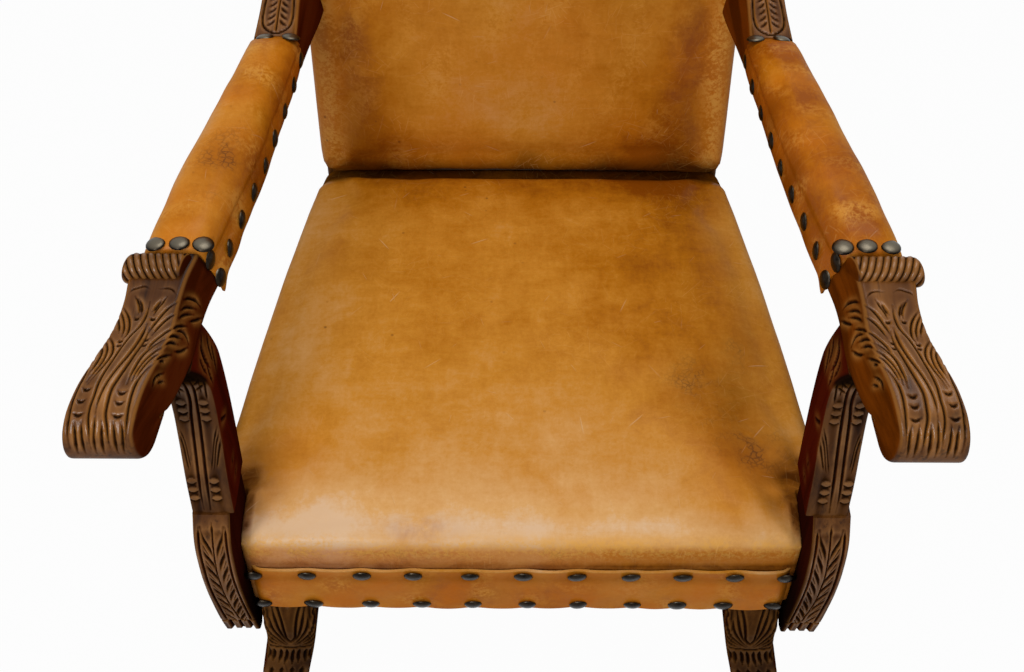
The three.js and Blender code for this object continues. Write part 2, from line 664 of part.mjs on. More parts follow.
const upperSupport = toSolid(upperBlank)
  .subtract(armBlank.translate(0, 0, -GAP))
  .subtract(toSolid(box(0, 500, -100, 200, coreBottom + 2 - GAP, coreBottom + 60)))
  .subtract(bore(armDowelX, 48, coreBottom - 30, coreBottom + 22))
  .subtract(bore(seatDowelX, 30, breakZ - 24, breakZ + 24));
addPair("arm_support", toGeometry(upperSupport), walnut);

const lowerOutline = [
  ...curve2([
    [-2, breakZ], [-16, breakZ - 19], [-24, breakZ - 60], [-23, breakZ - 100],
    [-18, breakZ - 138], [-10, breakZ - 182], [-3, breakZ - 210],
  ], 14),
  ...curve2([
    [10, breakZ - 216], [26, breakZ - 205], [38, breakZ - 168], [48, breakZ - 125],
    [55, breakZ - 75], [59, breakZ - 30], [60, breakZ],
  ], 12),
];
const lowerBlank = sawnPlank(lowerOutline, supportX, supportX + SUPPORT_WIDTH, 2.5);
const lowerSupport = toSolid(lowerBlank).subtract(bore(seatDowelX, 30, breakZ - 24, breakZ + 24));
addPair("seat_scroll", toGeometry(lowerSupport), walnut);
addPair("arm_dowel", peg(armDowelX, 48, coreBottom - 29, coreBottom + 21), walnut);
addPair("scroll_dowel", peg(seatDowelX, 30, breakZ - 23, breakZ + 23), walnut);

chair.updateMatrixWorld(true);
const bounds = new THREE.Box3().setFromObject(chair, true);
const middle = bounds.getCenter(new THREE.Vector3());
chair.position.set(-middle.x, -middle.y, -bounds.min.z);
chair.updateMatrixWorld(true);

export default chair;
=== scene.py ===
import math

import bmesh
import bpy
import numpy as np
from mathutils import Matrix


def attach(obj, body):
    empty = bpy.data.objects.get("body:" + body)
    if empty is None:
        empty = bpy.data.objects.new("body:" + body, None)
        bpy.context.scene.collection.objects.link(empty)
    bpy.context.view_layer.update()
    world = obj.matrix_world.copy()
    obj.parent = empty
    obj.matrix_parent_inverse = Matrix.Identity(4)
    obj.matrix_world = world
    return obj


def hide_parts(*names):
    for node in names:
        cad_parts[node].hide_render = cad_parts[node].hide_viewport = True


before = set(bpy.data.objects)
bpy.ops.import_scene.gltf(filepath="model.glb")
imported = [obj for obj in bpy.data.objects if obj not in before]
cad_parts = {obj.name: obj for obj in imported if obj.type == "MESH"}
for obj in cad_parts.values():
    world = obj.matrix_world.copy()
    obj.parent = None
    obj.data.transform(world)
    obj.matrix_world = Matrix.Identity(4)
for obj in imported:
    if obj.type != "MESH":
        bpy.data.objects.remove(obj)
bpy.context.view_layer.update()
scene = bpy.context.scene
scene.view_settings.view_transform = "Standard"

# Camera: stands in front of the chair at head height and looks down on the seat and arms.
# Lens and place follow the photograph's frame of 1024 by 672.
camera_data = bpy.data.cameras.new("camera")
camera_data.lens = 50.0
camera_data.sensor_width = 36.0
camera = bpy.data.objects.new("camera", camera_data)
camera.location = (-0.0042, -1.03164, 1.60545)
camera.rotation_euler = (math.radians(90.0 - 49.4), 0.0, 0.006)
scene.collection.objects.link(camera)
scene.camera = camera

# Studio: a white paper floor, an even white room and two large soft lamps.
# The floor shows white to the camera and keeps the chair's soft shadow.
bpy.ops.object.select_all(action="DESELECT")
bpy.ops.mesh.primitive_plane_add(size=9.0, location=(0.0, 0.0, -0.001))
floor = bpy.context.object
floor.name = "floor"
bpy.ops.object.transform_apply(location=True)


def new_finish(name, roughness=0.5):
    finish = bpy.data.materials.new(name)
    finish.use_nodes = True
    shader = finish.node_tree.nodes["Principled BSDF"]
    shader.inputs["Roughness"].default_value = roughness
    return finish, finish.node_tree, shader


def put(tree, kind, **values):
    """Adds a node; names with spaces are written with underscores."""
    node = tree.nodes.new(kind)
    for key, value in values.items():
        label = key.replace("_", " ")
        if label in node.inputs:
            node.inputs[label].default_value = value
        else:
            setattr(node, key, value)
    return node


paper, paper_tree, paper_shader = new_finish("floor_paper", 0.9)
paper_shader.inputs["Base Color"].default_value = (0.4, 0.4, 0.4, 1.0)


def seen_rays(tree):
    """One for rays that the camera, metal or glass sees, and nought for light that falls."""
    path = put(tree, "ShaderNodeLightPath")
    seen = path.outputs["Is Camera Ray"]
    for label in ("Is Glossy Ray", "Is Transmission Ray"):
        both = put(tree, "ShaderNodeMath", operation="MAXIMUM")
        tree.links.new(seen, both.inputs[0])
        tree.links.new(path.outputs[label], both.inputs[1])
        seen = both.outputs[0]
    return seen


paper_glow = put(paper_tree, "ShaderNodeEmission", Color=(1.0, 1.0, 1.0, 1.0), Strength=1.0)
paper_mix = put(paper_tree, "ShaderNodeMixShader")
paper_share = put(paper_tree, "ShaderNodeMath", operation="MULTIPLY")
paper_share.inputs[1].default_value = 0.97
paper_tree.links.new(seen_rays(paper_tree), paper_share.inputs[0])
paper_tree.links.new(paper_share.outputs[0], paper_mix.inputs[0])
paper_tree.links.new(paper_shader.outputs[0], paper_mix.inputs[1])
paper_tree.links.new(paper_glow.outputs[0], paper_mix.inputs[2])
paper_tree.links.new(paper_mix.outputs[0], paper_tree.nodes["Material Output"].inputs["Surface"])
floor.data.materials.append(paper)

world = bpy.data.worlds.new("studio")
scene.world = world
world.use_nodes = True
room = world.node_tree.nodes["Background"]
room.inputs["Color"].default_value = (1.0, 1.0, 1.0, 1.0)
room_level = put(world.node_tree, "ShaderNodeMapRange")
room_level.inputs["To Min"].default_value = 0.36
room_level.inputs["To Max"].default_value = 1.0
world.node_tree.links.new(seen_rays(world.node_tree), room_level.inputs["Value"])
world.node_tree.links.new(room_level.outputs[0], room.inputs["Strength"])
for lamp_name, lamp_at, lamp_size, lamp_power in (
    ("lamp_front", (-0.8, -2.0, 2.2), 1.0, 34.0),
    ("lamp_above", (0.3, 0.3, 2.9), 1.6, 25.0),
):
    lamp_data = bpy.data.lights.new(lamp_name, "AREA")
    lamp_data.size = lamp_size
    lamp_data.energy = lamp_power
    lamp = bpy.data.objects.new(lamp_name, lamp_data)
    lamp.location = lamp_at
    aim = np.array([0.0, 0.0, 0.5]) - np.array(lamp_at)
    lamp.rotation_euler = (
        math.atan2(math.hypot(aim[0], aim[1]), -aim[2]), 0.0, math.atan2(aim[1], aim[0]) - math.pi / 2
    )
    scene.collection.objects.link(lamp)

# Arms: carved walnut, one length from the back post to the rolled handgrip, with a bare
# core under the pad, a leaf on the rear block and acanthus over the grip.
# Lofted on the CAD arm's sections, then cut stroke by stroke; the right grip turns out less.
SEAT_FRONT = -304.886
SIDES = (("left", -1.0), ("right", 1.0))


def rising(value, start, reach):
    """Nought up to start, then a straight rise to one over reach."""
    return np.clip((value - start) / reach, 0, 1)


def falling(value, end, reach):
    """Nought from end on, and one where value is a reach or more before it."""
    return np.clip((end - value) / reach, 0, 1)


def hump(value, middle, reach):
    """A soft hump of height one round a middle."""
    return np.exp(-((value - middle) / reach)**2)


def patch(first, at_first, first_reach, second, at_second, second_reach):
    """A soft round patch of height one at a place on a surface."""
    return np.exp(-((first - at_first) / first_reach)**2 - ((second - at_second) / second_reach)**2)


def through(rows, at):
    """Smooth values between table rows; the first column is the place along the table."""
    rows = np.asarray(rows, float)
    at = np.atleast_1d(np.asarray(at, float))
    span = np.diff(rows[:, 0])[:, None]
    rise = np.diff(rows[:, 1:], axis=0) / span
    slope = np.empty_like(rows[:, 1:])
    slope[1:-1] = (rise[:-1] * span[1:] + rise[1:] * span[:-1]) / (span[1:] + span[:-1])
    slope[0], slope[-1] = rise[0], rise[-1]
    i = np.clip(np.searchsorted(rows[:, 0], at, side="right") - 1, 0, len(span) - 1)
    u = ((at - rows[i, 0]) / span[i, 0])[:, None]
    near, far = rows[i, 1:], rows[i + 1, 1:]
    return ((2 * u**3 - 3 * u**2 + 1) * near + (u**3 - 2 * u**2 + u) * slope[i] * span[i]
            + (3 * u**2 - 2 * u**3) * far + (u**3 - u**2) * slope[i + 1] * span[i])


ARM_FLARE = (
    (-80, 1.02), (-64, 1.0), (-30, 0.925), (0, 0.835), (37, 0.735), (70, 0.7), (90, 0.68),
    (122, 0.575), (182, 0.41), (233, 0.303), (288, 0.195), (345, 0.095), (402, 0.01), (425, 0),
    (470, 0), (640, 0),
)


ARM_REAR = 248.0
ARM_TURN = 89.0


def arm_middle(y):
    return ARM_REAR + ARM_TURN * through(ARM_FLARE, y)[:, 0]


def arm_x(y):
    return float(arm_middle(y)[0])


def sections(rows, spacing):
    """Rows of face y z, back y z, centre x, width, inner spread, evenly along the face."""
    rows = np.asarray(rows, float)
    step = np.linalg.norm(np.diff(rows[:, [0, 1, 4]], axis=0), axis=1)
    along = np.r_[0.0, np.cumsum(step)]
    count = max(2, int(round(along[-1] / spacing)) + 1)
    return through(np.c_[along, rows], np.linspace(0.0, along[-1], count))


def billet(table, radius, face=64, side=28, back=6, bend=10):
    """Rounded four-sided loops, one for each section; the inner side is towards -X."""
    face_y, face_z, back_y, back_z, middle, width, spread = table.T
    across = np.array([1.0, 0.0, 0.0])
    top = np.c_[middle, face_y, face_z]
    low = np.c_[middle, back_y, back_z]
    corners = [
        top + across * (width / 2)[:, None], top - across * (width / 2)[:, None],
        low - across * (width / 2 + spread)[:, None], low + across * (width / 2)[:, None],
    ]
    loop = []
    for k, count in enumerate((face, side, back, side)):
        here, turn, after = corners[k], corners[(k + 1) % 4], corners[(k + 2) % 4]
        length = np.linalg.norm(turn - here, axis=1, keepdims=True)
        next_length = np.linalg.norm(after - turn, axis=1, keepdims=True)
        run, leave = (turn - here) / length, (after - turn) / next_length
        start = np.minimum(radius, 0.45 * length)
        bent = np.minimum(radius, 0.45 * np.minimum(length, next_length))
        for f in np.linspace(0.0, 1.0, count):
            loop.append(here + run * (start + (length - start - bent) * f))
        for f in np.linspace(0.0, 1.0, bend + 1)[1:-1]:
            loop.append((1 - f)**2 * (turn - run * bent) + 2 * f * (1 - f) * turn
                        + f**2 * (turn + leave * bent))
    return np.stack(loop, axis=1)


def unrolled(loops, face=64):
    """Length along the face and the wrapped distance from its middle line, inner side plus."""
    middle = loops[:, face // 2 - 1:face // 2 + 1].mean(axis=1)
    along = np.r_[0.0, np.cumsum(np.linalg.norm(np.diff(middle, axis=0), axis=1))]
    steps = np.linalg.norm(np.roll(loops, -1, axis=1) - loops, axis=2)
    walked = np.c_[np.zeros(len(loops)), np.cumsum(steps, axis=1)]
    around = walked[:, :-1] - walked[:, face - 1:face] / 2
    around = np.where(around > walked[:, -1:] / 2, around - walked[:, -1:], around)
    return np.repeat(along[:, None], loops.shape[1], axis=1), around


def gouge(s, a, path, width, depth, taper=0.3):
    """Height of one tool stroke along a path of (along, around) points; minus depth is a cut."""
    path = np.asarray(path, float)
    near = ((s > path[:, 0].min() - width) & (s < path[:, 0].max() + width)
            & (a > path[:, 1].min() - width) & (a < path[:, 1].max() + width))
    height = np.zeros_like(s)
    if not near.any():
        return height
    if len(path) > 2:
        walk = np.r_[0.0, np.cumsum(np.linalg.norm(np.diff(path, axis=0), axis=1))]
        path = through(np.c_[walk, path], np.linspace(0.0, walk[-1], 4 * len(path)))
    px, py = s[near], a[near]
    best = np.full(px.shape, 1e9)
    share = np.zeros(px.shape)
    for k in range(len(path) - 1):
        d = path[k + 1] - path[k]
        t = np.clip(((px - path[k, 0]) * d[0] + (py - path[k, 1]) * d[1]) / max(d @ d, 1e-9), 0, 1)
        gap = np.hypot(px - path[k, 0] - t * d[0], py - path[k, 1] - t * d[1])
        closer = gap < best
        best = np.where(closer, gap, best)
        share = np.where(closer, (k + t) / (len(path) - 1), share)
    full = np.clip(np.minimum(share, 1 - share) / taper, 0.2, 1.0) if taper else 1.0
    height[near] = -depth * full * np.clip(1 - best / (width * (0.5 + 0.5 * full)), 0, 1) ** 1.2
    return height


def deeper(height, stroke):
    """The face after one more stroke, which doesn't deepen a cut that is already lower."""
    return height + np.minimum(stroke - np.minimum(height, 0), 0)


def boss(s, a, at, size, rise):
    """Rounded raised bead at one (along, around) point."""
    reach = ((s - at[0]) / size[0])**2 + ((a - at[1]) / size[1])**2
    return rise * np.sqrt(np.clip(1 - reach, 0, 1))


def outward(loops):
    round_step = np.roll(loops, -1, axis=1) - np.roll(loops, 1, axis=1)
    normal = np.cross(round_step, np.gradient(loops, axis=0))
    normal /= np.maximum(np.linalg.norm(normal, axis=2, keepdims=True), 1e-9)
    away = loops - loops.mean(axis=1, keepdims=True)
    return normal if (away * normal).sum() > 0 else -normal


def soften(values, passes):
    for _ in range(passes):
        padded = np.pad(values, ((1, 1), (0, 0)), mode="edge")
        values = (padded[:-2] + padded[2:] + np.roll(values, 1, axis=1) + np.roll(values, -1, axis=1)) / 4
    return values


def new_grid(name, columns, rows):
    bpy.ops.object.select_all(action="DESELECT")
    bpy.ops.mesh.primitive_grid_add(x_subdivisions=columns, y_subdivisions=rows, size=1.0)
    piece = bpy.context.object
    piece.name = name
    piece.data.name = name
    return piece


def carve(name, loops, height, side, darkening_and_shade=0.0):
    """Closed carved length as one mesh, with masks for hollows and for rubbed ridges; the mask for
    hollows also takes any extra darkening given, which on the supports is painted shade."""
    shape = loops + outward(loops) * height[:, :, None]
    shape = shape + np.array([0.0, SEAT_FRONT, 0.0])
    shape[:, :, 0] *= side
    shape = np.concatenate([shape, shape[:, :1]], axis=1) * 0.001
    rows, columns = shape.shape[:2]
    piece = new_grid(name, columns - 1, rows - 1)
    piece.data.vertices.foreach_set("co", shape.reshape(-1))
    ridge = height - soften(height, 14)
    hollow_and_shade = np.clip(np.maximum(-ridge, 0.0) / 0.7 + darkening_and_shade, 0.0, 1.0)
    rub = np.clip(ridge / 0.45, 0.0, 1.0)
    for label, mask in (("hollow_and_shade", hollow_and_shade), ("rub", rub)):
        mask = np.concatenate([mask, mask[:, :1]], axis=1)
        layer = piece.data.attributes.new(label, "FLOAT", "POINT")
        layer.data.foreach_set("value", mask.astype(np.float32).reshape(-1))
    bpy.ops.object.mode_set(mode="EDIT")
    bpy.ops.mesh.select_all(action="SELECT")
    bpy.ops.mesh.remove_doubles(threshold=1e-6)
    bpy.ops.mesh.fill_holes(sides=0)
    bpy.ops.mesh.select_all(action="SELECT")
    bpy.ops.mesh.normals_make_consistent(inside=False)
    bpy.ops.object.mode_set(mode="OBJECT")
    bpy.ops.object.shade_smooth_by_angle(angle=math.radians(50))
    return piece


GRIP_ROWS = (
    (122, 722, 122, 682, arm_x(122) + 8, 54, 14), (96, 722, 96, 683, arm_x(96) + 3, 50, 14),
    (70, 721, 70, 684, arm_x(70) + 1, 47, 14), (37, 721, 37, 684, arm_x(37), 50, 13),
    (5, 722, 6, 681, arm_x(5), 53, 12), (-26, 720, -12, 679, arm_x(-26), 55, 13),
    (-46, 713, -17, 680, arm_x(-46), 56, 14), (-59, 702, -20, 681, arm_x(-59), 56, 14),
    (-64, 689, -21, 681, arm_x(-64) - 1, 58, 12), (-62, 677, -20, 680, arm_x(-64) - 2, 60, 11),
    (-54, 668, -18, 679, arm_x(-64) - 3, 62, 9), (-42, 664, -14, 678, arm_x(-64) - 4, 63, 8),
    (-28, 664, -8, 677, arm_x(-56) - 4, 62, 7),
)
REAR_ROWS = (
    (425, 721, 425, 682, arm_x(425), 44, 2), (468, 726, 468, 678, arm_x(468), 40, 9),
    (515, 733, 515, 668, arm_x(515), 39, 13), (565, 744, 565, 655, arm_x(565), 39, 13),
    (612, 752, 612, 648, arm_x(612), 39, 13),
)
PAD_WIDTHS = (
    (122, 66, -2.0, 10), (153, 67, -0.5, 8), (190, 66, 2.3, 5.5), (226, 65, 2.7, 3.5), (262, 62, 2.5, 2),
    (300, 58, 3.0, 1), (340, 54, 2.9, 0), (380, 50.5, 2.6, 0), (425, 49, 1.7, 0),
)


def pad_width(y):
    return through(PAD_WIDTHS, np.clip(y, 122, 425))[0]


GRIP_LINES = (
    ((47, -20), (42, -18), (40, -14), (38, -8), (41, -3)), ((41, 4), (40, 11), (41, 15), (47, 20)),
)
GRIP_STEM = (
    ((55, 0), (71, 0), (83, -2), (93, -6), (104, -8), (118, -9), (131, -10), (144, -10), (156, -9),
     (166, -9), (176, -8), (184, -6), (200, -5)),
    ((80, 3), (100, 3), (113, 2), (129, -1), (144, -3), (158, -4), (170, -3)),
    ((84, 6), (100, 7), (114, 6), (128, 5), (140, 4), (150, 3), (163, 4), (172, 5), (183, 8), (200, 10)),
)
GRIP_LOBES = (
    ((49, -14), (55, -10), (64, -7), (70, -7)), ((52, -10), (57, -7), (64, -5), (70, -4)),
    ((49, 13), (56, 10), (63, 7), (70, 6)), ((52, 9), (58, 7), (66, 4)),
    ((60, -22), (73, -14), (83, -11), (93, -10), (99, -12)), ((63, -24), (75, -18), (84, -15), (94, -13)),
    ((69, -26), (81, -20), (90, -17)),
    ((91, -26), (104, -16), (113, -13), (124, -14), (135, -16), (145, -18)),
    ((95, -27), (108, -19), (118, -17), (130, -18), (143, -20)),
    ((101, -28), (111, -22), (123, -21), (136, -22)),
    ((54, 23), (64, 15), (73, 11), (83, 8), (91, 7)), ((67, 24), (75, 17), (83, 13), (92, 11)),
    ((81, 27), (90, 20), (100, 15), (112, 13)), ((95, 25), (104, 17), (114, 13), (129, 12), (145, 13)),
    ((103, 26), (112, 20), (122, 16), (132, 15), (142, 16)), ((110, 27), (118, 21), (129, 18), (140, 18)),
)
GRIP_BEADS = (
    ((118, -29), (134, -25), (147, -25), (159, -25), (171, -24), (185, -23), (200, -22)),
    ((120, 27), (130, 22), (141, 20), (152, 20), (163, 21), (172, 22), (185, 23), (200, 23)),
)
GRIP_SIDE = (
    ((48, 28), (40, 37), (36, 47), (37, 52)), ((60, 28), (50, 36), (43, 47)), ((69, 28), (57, 37), (50, 46)),
    ((61, 42), (53, 50), (44, 58)), ((84, 25), (76, 31), (67, 41)), ((83, 29), (76, 39), (77, 45), (81, 49)),
    ((94, 25), (88, 30), (83, 40)), ((102, 26), (96, 30), (91, 38)), ((99, 38), (93, 45), (84, 50)),
    ((120, 25), (112, 31), (104, 37)), ((119, 29), (113, 35)), ((123, 40), (134, 35), (142, 36)),
    ((136, 40), (129, 46)),
)
GRIP_PEARLS = (
    (153, 12, 4), (162, 13, 4), (173, 14.5, 5), (150, -17, 4), (160.5, -18, 4), (172, -17, 5),
    (74, -7, 2.5), (74, 6, 2.5), (99, -12, 2.5), (103.5, -11.5, 2.2), (97, 8, 2.5), (103, 9, 2.2),
)
GRIP_FLUTES = (
    ((178, -19), (184, -17.5), (206, -17)), ((177, -13), (186, -12), (206, -11)),
    ((170, -3), (182, -2), (206, -2)), ((177, 3), (184, 4), (206, 4)), ((177, 12), (184, 13.5), (206, 15)),
    ((177, 18), (184, 20), (206, 20)),
)


def grip_cut(s, a):
    h = np.zeros_like(s)
    swell = rising(s, 45, 40) * falling(s, 210, 20)
    h += swell * 1.6 * hump(a, -2, 6.5)
    for lines, width, depth in (
        (GRIP_LINES, 1.3, 1.0), (GRIP_LOBES, 2.0, 1.9), (GRIP_BEADS, 2.1, 1.8), (GRIP_FLUTES, 2.2, 2.0),
    ):
        for line in lines:
            h = deeper(h, gouge(s, a, line, width, depth))
    for line in GRIP_STEM:
        h = deeper(h, gouge(s, a, line, 2.0, 1.8, 0.12))
    for line in GRIP_SIDE:
        h = deeper(h, gouge(s, a, line, 2.3, 2.6))
        other = [(x, -y) for x, y in line]
        h = deeper(h, gouge(s, a, other, 2.3, 2.6))
    for along, around, size in GRIP_PEARLS:
        bow = ((along - 1.5, around - size), (along + 1.0, around), (along - 1.5, around + size))
        h = deeper(h, gouge(s, a, bow, 2.0, 1.8))
    return h


REAR_LEAF = (
    ((110, -13), (80, -13), (55, -14), (38, -15), (24, -15), (14, -13), (7, -7), (4, 0), (7, 7), (14, 13),
     (24, 15), (38, 15), (55, 14), (80, 13), (110, 13)),
    ((110, 1), (70, 1), (37, 0), (16, 0), (5, 0)),
)


def rear_cut(s, a):
    h = np.zeros_like(s)
    for line in REAR_LEAF:
        h = deeper(h, gouge(s, a, line, 2.0, 1.7, 0.05))
    for k in range(9):
        at = 14 + 9 * k
        for turn in (-1, 1):
            vein = ((at + 11, 1.5 * turn), (at + 4, 6 * turn), (at, 10.5 * turn))
            h = deeper(h, gouge(s, a, vein, 2.4, 1.4))
    return h


def arm_shape():
    grip = billet(sections(GRIP_ROWS, 1.1), 5)
    core_rows = []
    for y in np.linspace(424.7, 122.3, 16):
        wide, shift, lean = pad_width(y)
        core_rows.append((y, 706, y, 682, arm_x(y) + shift + lean / 2, wide - lean - 5.6, lean))
    core = billet(np.asarray(core_rows), 3)
    rear = billet(sections(REAR_ROWS, 2.2), 6)
    grip_height = grip_cut(*unrolled(grip))
    rear_height = rear_cut(*unrolled(rear))
    loops = np.concatenate([rear[::-1], core, grip])
    height = np.concatenate([rear_height[::-1], np.zeros(core.shape[:2]), grip_height])
    return loops, height


def roll_shape(inner):
    """Half-round roll across the neck, twisted like a rope, from its inner end outward."""
    turns = np.linspace(0.0, 2 * math.pi, 73)[:-1]
    across = np.linspace(-inner, 29.0, 105)
    half = (29.0 + inner) / 2
    tip = np.abs(across - (29.0 - inner) / 2)
    ends = np.sqrt(np.clip(1 - rising(tip - half, -4.0, 4.0)**2, 0.0, 1.0))
    twist = (across[:, None] + 7.0 * (turns[None, :] - math.pi / 2)) / 6.3
    ribs = 1.9 * (np.abs(np.cos(math.pi * twist)) ** 0.6 - 0.75)
    plain = np.clip((half - 1.5 - tip) / 1.5, 0, 1)[:, None]
    radius = 13.2 * (0.78 + 0.22 * ends)[:, None] * np.ones_like(twist)
    y = 106 + radius * np.cos(turns)
    z = 720 + radius * np.sin(turns)
    x = arm_x(106) + 4 + across[:, None] - 0.3 * (y - 106)
    return np.stack([x, y, z], axis=2), ribs * plain


def new_group(name, takes, gives):
    """A node group with its sockets, and the nodes that stand for them inside it."""
    group = bpy.data.node_groups.new(name, "ShaderNodeTree")
    for way, sockets in (("INPUT", takes), ("OUTPUT", gives)):
        for label, kind in sockets.items():
            group.interface.new_socket(label, in_out=way, socket_type=f"NodeSocket{kind}")
    return group, put(group, "NodeGroupInput"), put(group, "NodeGroupOutput")


SURFACE = {"Colour": "Color", "Gloss": "Float", "Wax": "Float", "Height": "Float"}


def spread(tree, value, low, high, to_low=0.0, to_high=1.0):
    """A value from one range laid out over another."""
    node = put(tree, "ShaderNodeMapRange")
    node.inputs["From Min"].default_value = low
    node.inputs["From Max"].default_value = high
    node.inputs["To Min"].default_value = to_low
    node.inputs["To Max"].default_value = to_high
    tree.links.new(value, node.inputs["Value"])
    return node.outputs[0]


def sums(tree, kind, first, second):
    node = put(tree, "ShaderNodeMath", operation=kind)
    for socket, value in zip(node.inputs, (first, second)):
        if isinstance(value, float):
            socket.default_value = value
        else:
            tree.links.new(value, socket)
    return node.outputs[0]


def times(tree, first, second):
    return sums(tree, "MULTIPLY", first, second)


def plus(tree, first, second):
    return sums(tree, "ADD", first, second)


def over(tree, share, under, colour):
    """A colour laid over another by a share."""
    node = put(tree, "ShaderNodeMix", data_type="RGBA")
    if isinstance(colour, tuple):
        node.inputs["B"].default_value = (*colour, 1.0)
    else:
        tree.links.new(colour, node.inputs["B"])
    tree.links.new(share, node.inputs["Factor"])
    tree.links.new(under, node.inputs["A"])
    return node.outputs["Result"]


def noise(tree, vector, scale, detail=3.0, roughness=0.55, distortion=0.0):
    node = put(tree, "ShaderNodeTexNoise", Scale=scale, Detail=detail, Roughness=roughness,
               Distortion=distortion)
    tree.links.new(vector, node.inputs["Vector"])
    return node.outputs["Fac"]


def mask(tree, label):
    return put(tree, "ShaderNodeAttribute", attribute_name=label).outputs["Fac"]


def ramp(tree, value, stops):
    node = put(tree, "ShaderNodeValToRGB")
    node.color_ramp.elements[0].position, node.color_ramp.elements[-1].position = stops[0][0], stops[-1][0]
    node.color_ramp.elements[0].color = (*stops[0][1], 1.0)
    node.color_ramp.elements[-1].color = (*stops[-1][1], 1.0)
    for position, colour in stops[1:-1]:
        node.color_ramp.elements.new(position).color = (*colour, 1.0)
    tree.links.new(value, node.inputs["Fac"])
    return node.outputs["Color"]


walnut_grain, given, result = new_group("walnut_grain", {"Grain": "Vector", "Cheek": "Color"}, SURFACE)
tree = walnut_grain
place = put(tree, "ShaderNodeTexCoord").outputs["Object"]
stretch = put(tree, "ShaderNodeVectorMath", operation="MULTIPLY")
tree.links.new(place, stretch.inputs[0])
tree.links.new(given.outputs["Grain"], stretch.inputs[1])
streak = noise(tree, stretch.outputs[0], 26.0, 4.0, 0.62, 0.6)
cloud = noise(tree, place, 34.0, 4.0)
colour = ramp(tree, streak, (
    (0.34, (0.024, 0.0065, 0.0015)), (0.5, (0.1, 0.034, 0.007)), (0.68, (0.2, 0.076, 0.0165))))
pore = spread(tree, noise(tree, stretch.outputs[0], 170.0, 3.0, 0.6), 0.56, 0.7, 0.0, 0.65)
colour = over(tree, pore, colour, (0.014, 0.005, 0.002))
# Faces that look sideways take the given cheek colour, a redder polished brown deepened by painted shade, and
# their dark streaks go darker still.
facing = put(tree, "ShaderNodeSeparateXYZ")
tree.links.new(put(tree, "ShaderNodeNewGeometry").outputs["Normal"], facing.inputs[0])
sideways = sums(tree, "ABSOLUTE", facing.outputs["X"], 0.0)
cheek = spread(tree, sideways, 0.6, 0.9, 0.0, 0.9)
colour = over(tree, cheek, colour, given.outputs["Cheek"])
shaded_side_grain = times(tree, cheek, spread(tree, streak, 0.52, 0.38, 0.0, 0.6))
colour = over(tree, shaded_side_grain, colour, (0.02, 0.004, 0.0006))
# Painted highlight: a golden-brown band on edges that turn sideways and up, where light catches them; the wax
# is thinner there.
painted_bevel_highlight = times(tree, spread(tree, sideways, 0.3, 0.5), spread(tree, sideways, 0.88, 0.7))
painted_bevel_highlight = times(tree, painted_bevel_highlight, spread(tree, facing.outputs["Z"], 0.25, 0.5))
colour = over(tree, times(tree, painted_bevel_highlight, 0.5), colour, (0.3, 0.12, 0.024))
rub = times(tree, mask(tree, "rub"), spread(tree, cloud, 0.3, 0.65, 0.25, 1.0))
colour = over(tree, times(tree, rub, 0.6), colour, (0.4, 0.165, 0.032))
# Carved hollows and painted shade from the same mask go black-brown and lose their wax.
hollow_and_shade = mask(tree, "hollow_and_shade")
colour = over(tree, times(tree, hollow_and_shade, 0.94), colour, (0.006, 0.003, 0.0018))
tree.links.new(colour, result.inputs["Colour"])
gloss = sums(tree, "SUBTRACT", spread(tree, cloud, 0.0, 1.0, 0.22, 0.44), times(tree, rub, 0.06))
tree.links.new(gloss, result.inputs["Gloss"])
wax = times(tree, spread(tree, hollow_and_shade, 0.0, 0.6, 1.0, 0.0), spread(tree, cheek, 0.0, 0.8, 1.0, 0.0))
wax = times(tree, wax, spread(tree, painted_bevel_highlight, 0.0, 1.0, 1.0, 0.3))
wax = times(tree, wax, spread(tree, rub, 0.0, 1.0, 0.26, 0.8))
tree.links.new(wax, result.inputs["Wax"])
tree.links.new(sums(tree, "SUBTRACT", streak, pore), result.inputs["Height"])


def waxed(name, group, coat_roughness, relief, depth, **values):
    """A finish whose colour, gloss, wax and height come from a node group with its own values."""
    finish, tree, shader = new_finish(name)
    surface = put(tree, "ShaderNodeGroup", node_tree=group)
    for label, value in values.items():
        surface.inputs[label].default_value = value
    for label, socket in (("Colour", "Base Color"), ("Gloss", "Roughness"), ("Wax", "Coat Weight")):
        tree.links.new(surface.outputs[label], shader.inputs[socket])
    shader.inputs["Specular IOR Level"].default_value = 0.0
    shader.inputs["Coat Roughness"].default_value = coat_roughness
    bump = put(tree, "ShaderNodeBump", Strength=relief, Distance=depth)
    tree.links.new(surface.outputs["Height"], bump.inputs["Height"])
    tree.links.new(bump.outputs[0], shader.inputs["Normal"])
    return finish


def walnut(name, grain, cheek):
    """Waxed walnut: streaked grain along one axis, black-brown hollows that also take painted
    shade, golden rubbed ridges, a painted highlight on edges that turn up, and a redder, polished
    brown with painted shade on the faces that look sideways."""
    return waxed(name, walnut_grain, 0.2, 0.3, 0.0006, Grain=grain, Cheek=(*cheek, 1.0))


def fit(piece, finish, slot, *nodes):
    """Gives a piece its finish and sets it on the chair in the place of CAD nodes."""
    piece.data.materials.append(finish)
    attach(piece, "root")
    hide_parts(*nodes)


LENGTHWISE, UPRIGHT, CROSSWISE = (1.0, 0.09, 1.0), (1.0, 1.0, 0.09), (0.09, 1.0, 1.0)
# Cheek colours: redder polished browns for the sideways faces, darkened to stand for painted shade.
RED_BROWN = (0.1, 0.016, 0.0012)
LESS_TURN = 11.0
walnut_lengthwise = walnut("walnut_side_rails", LENGTHWISE, RED_BROWN)
walnut_upright = walnut("walnut_uprights", UPRIGHT, (0.082, 0.0045, 0.001))
walnut_crosswise = walnut("walnut_cross_rails", CROSSWISE, RED_BROWN)
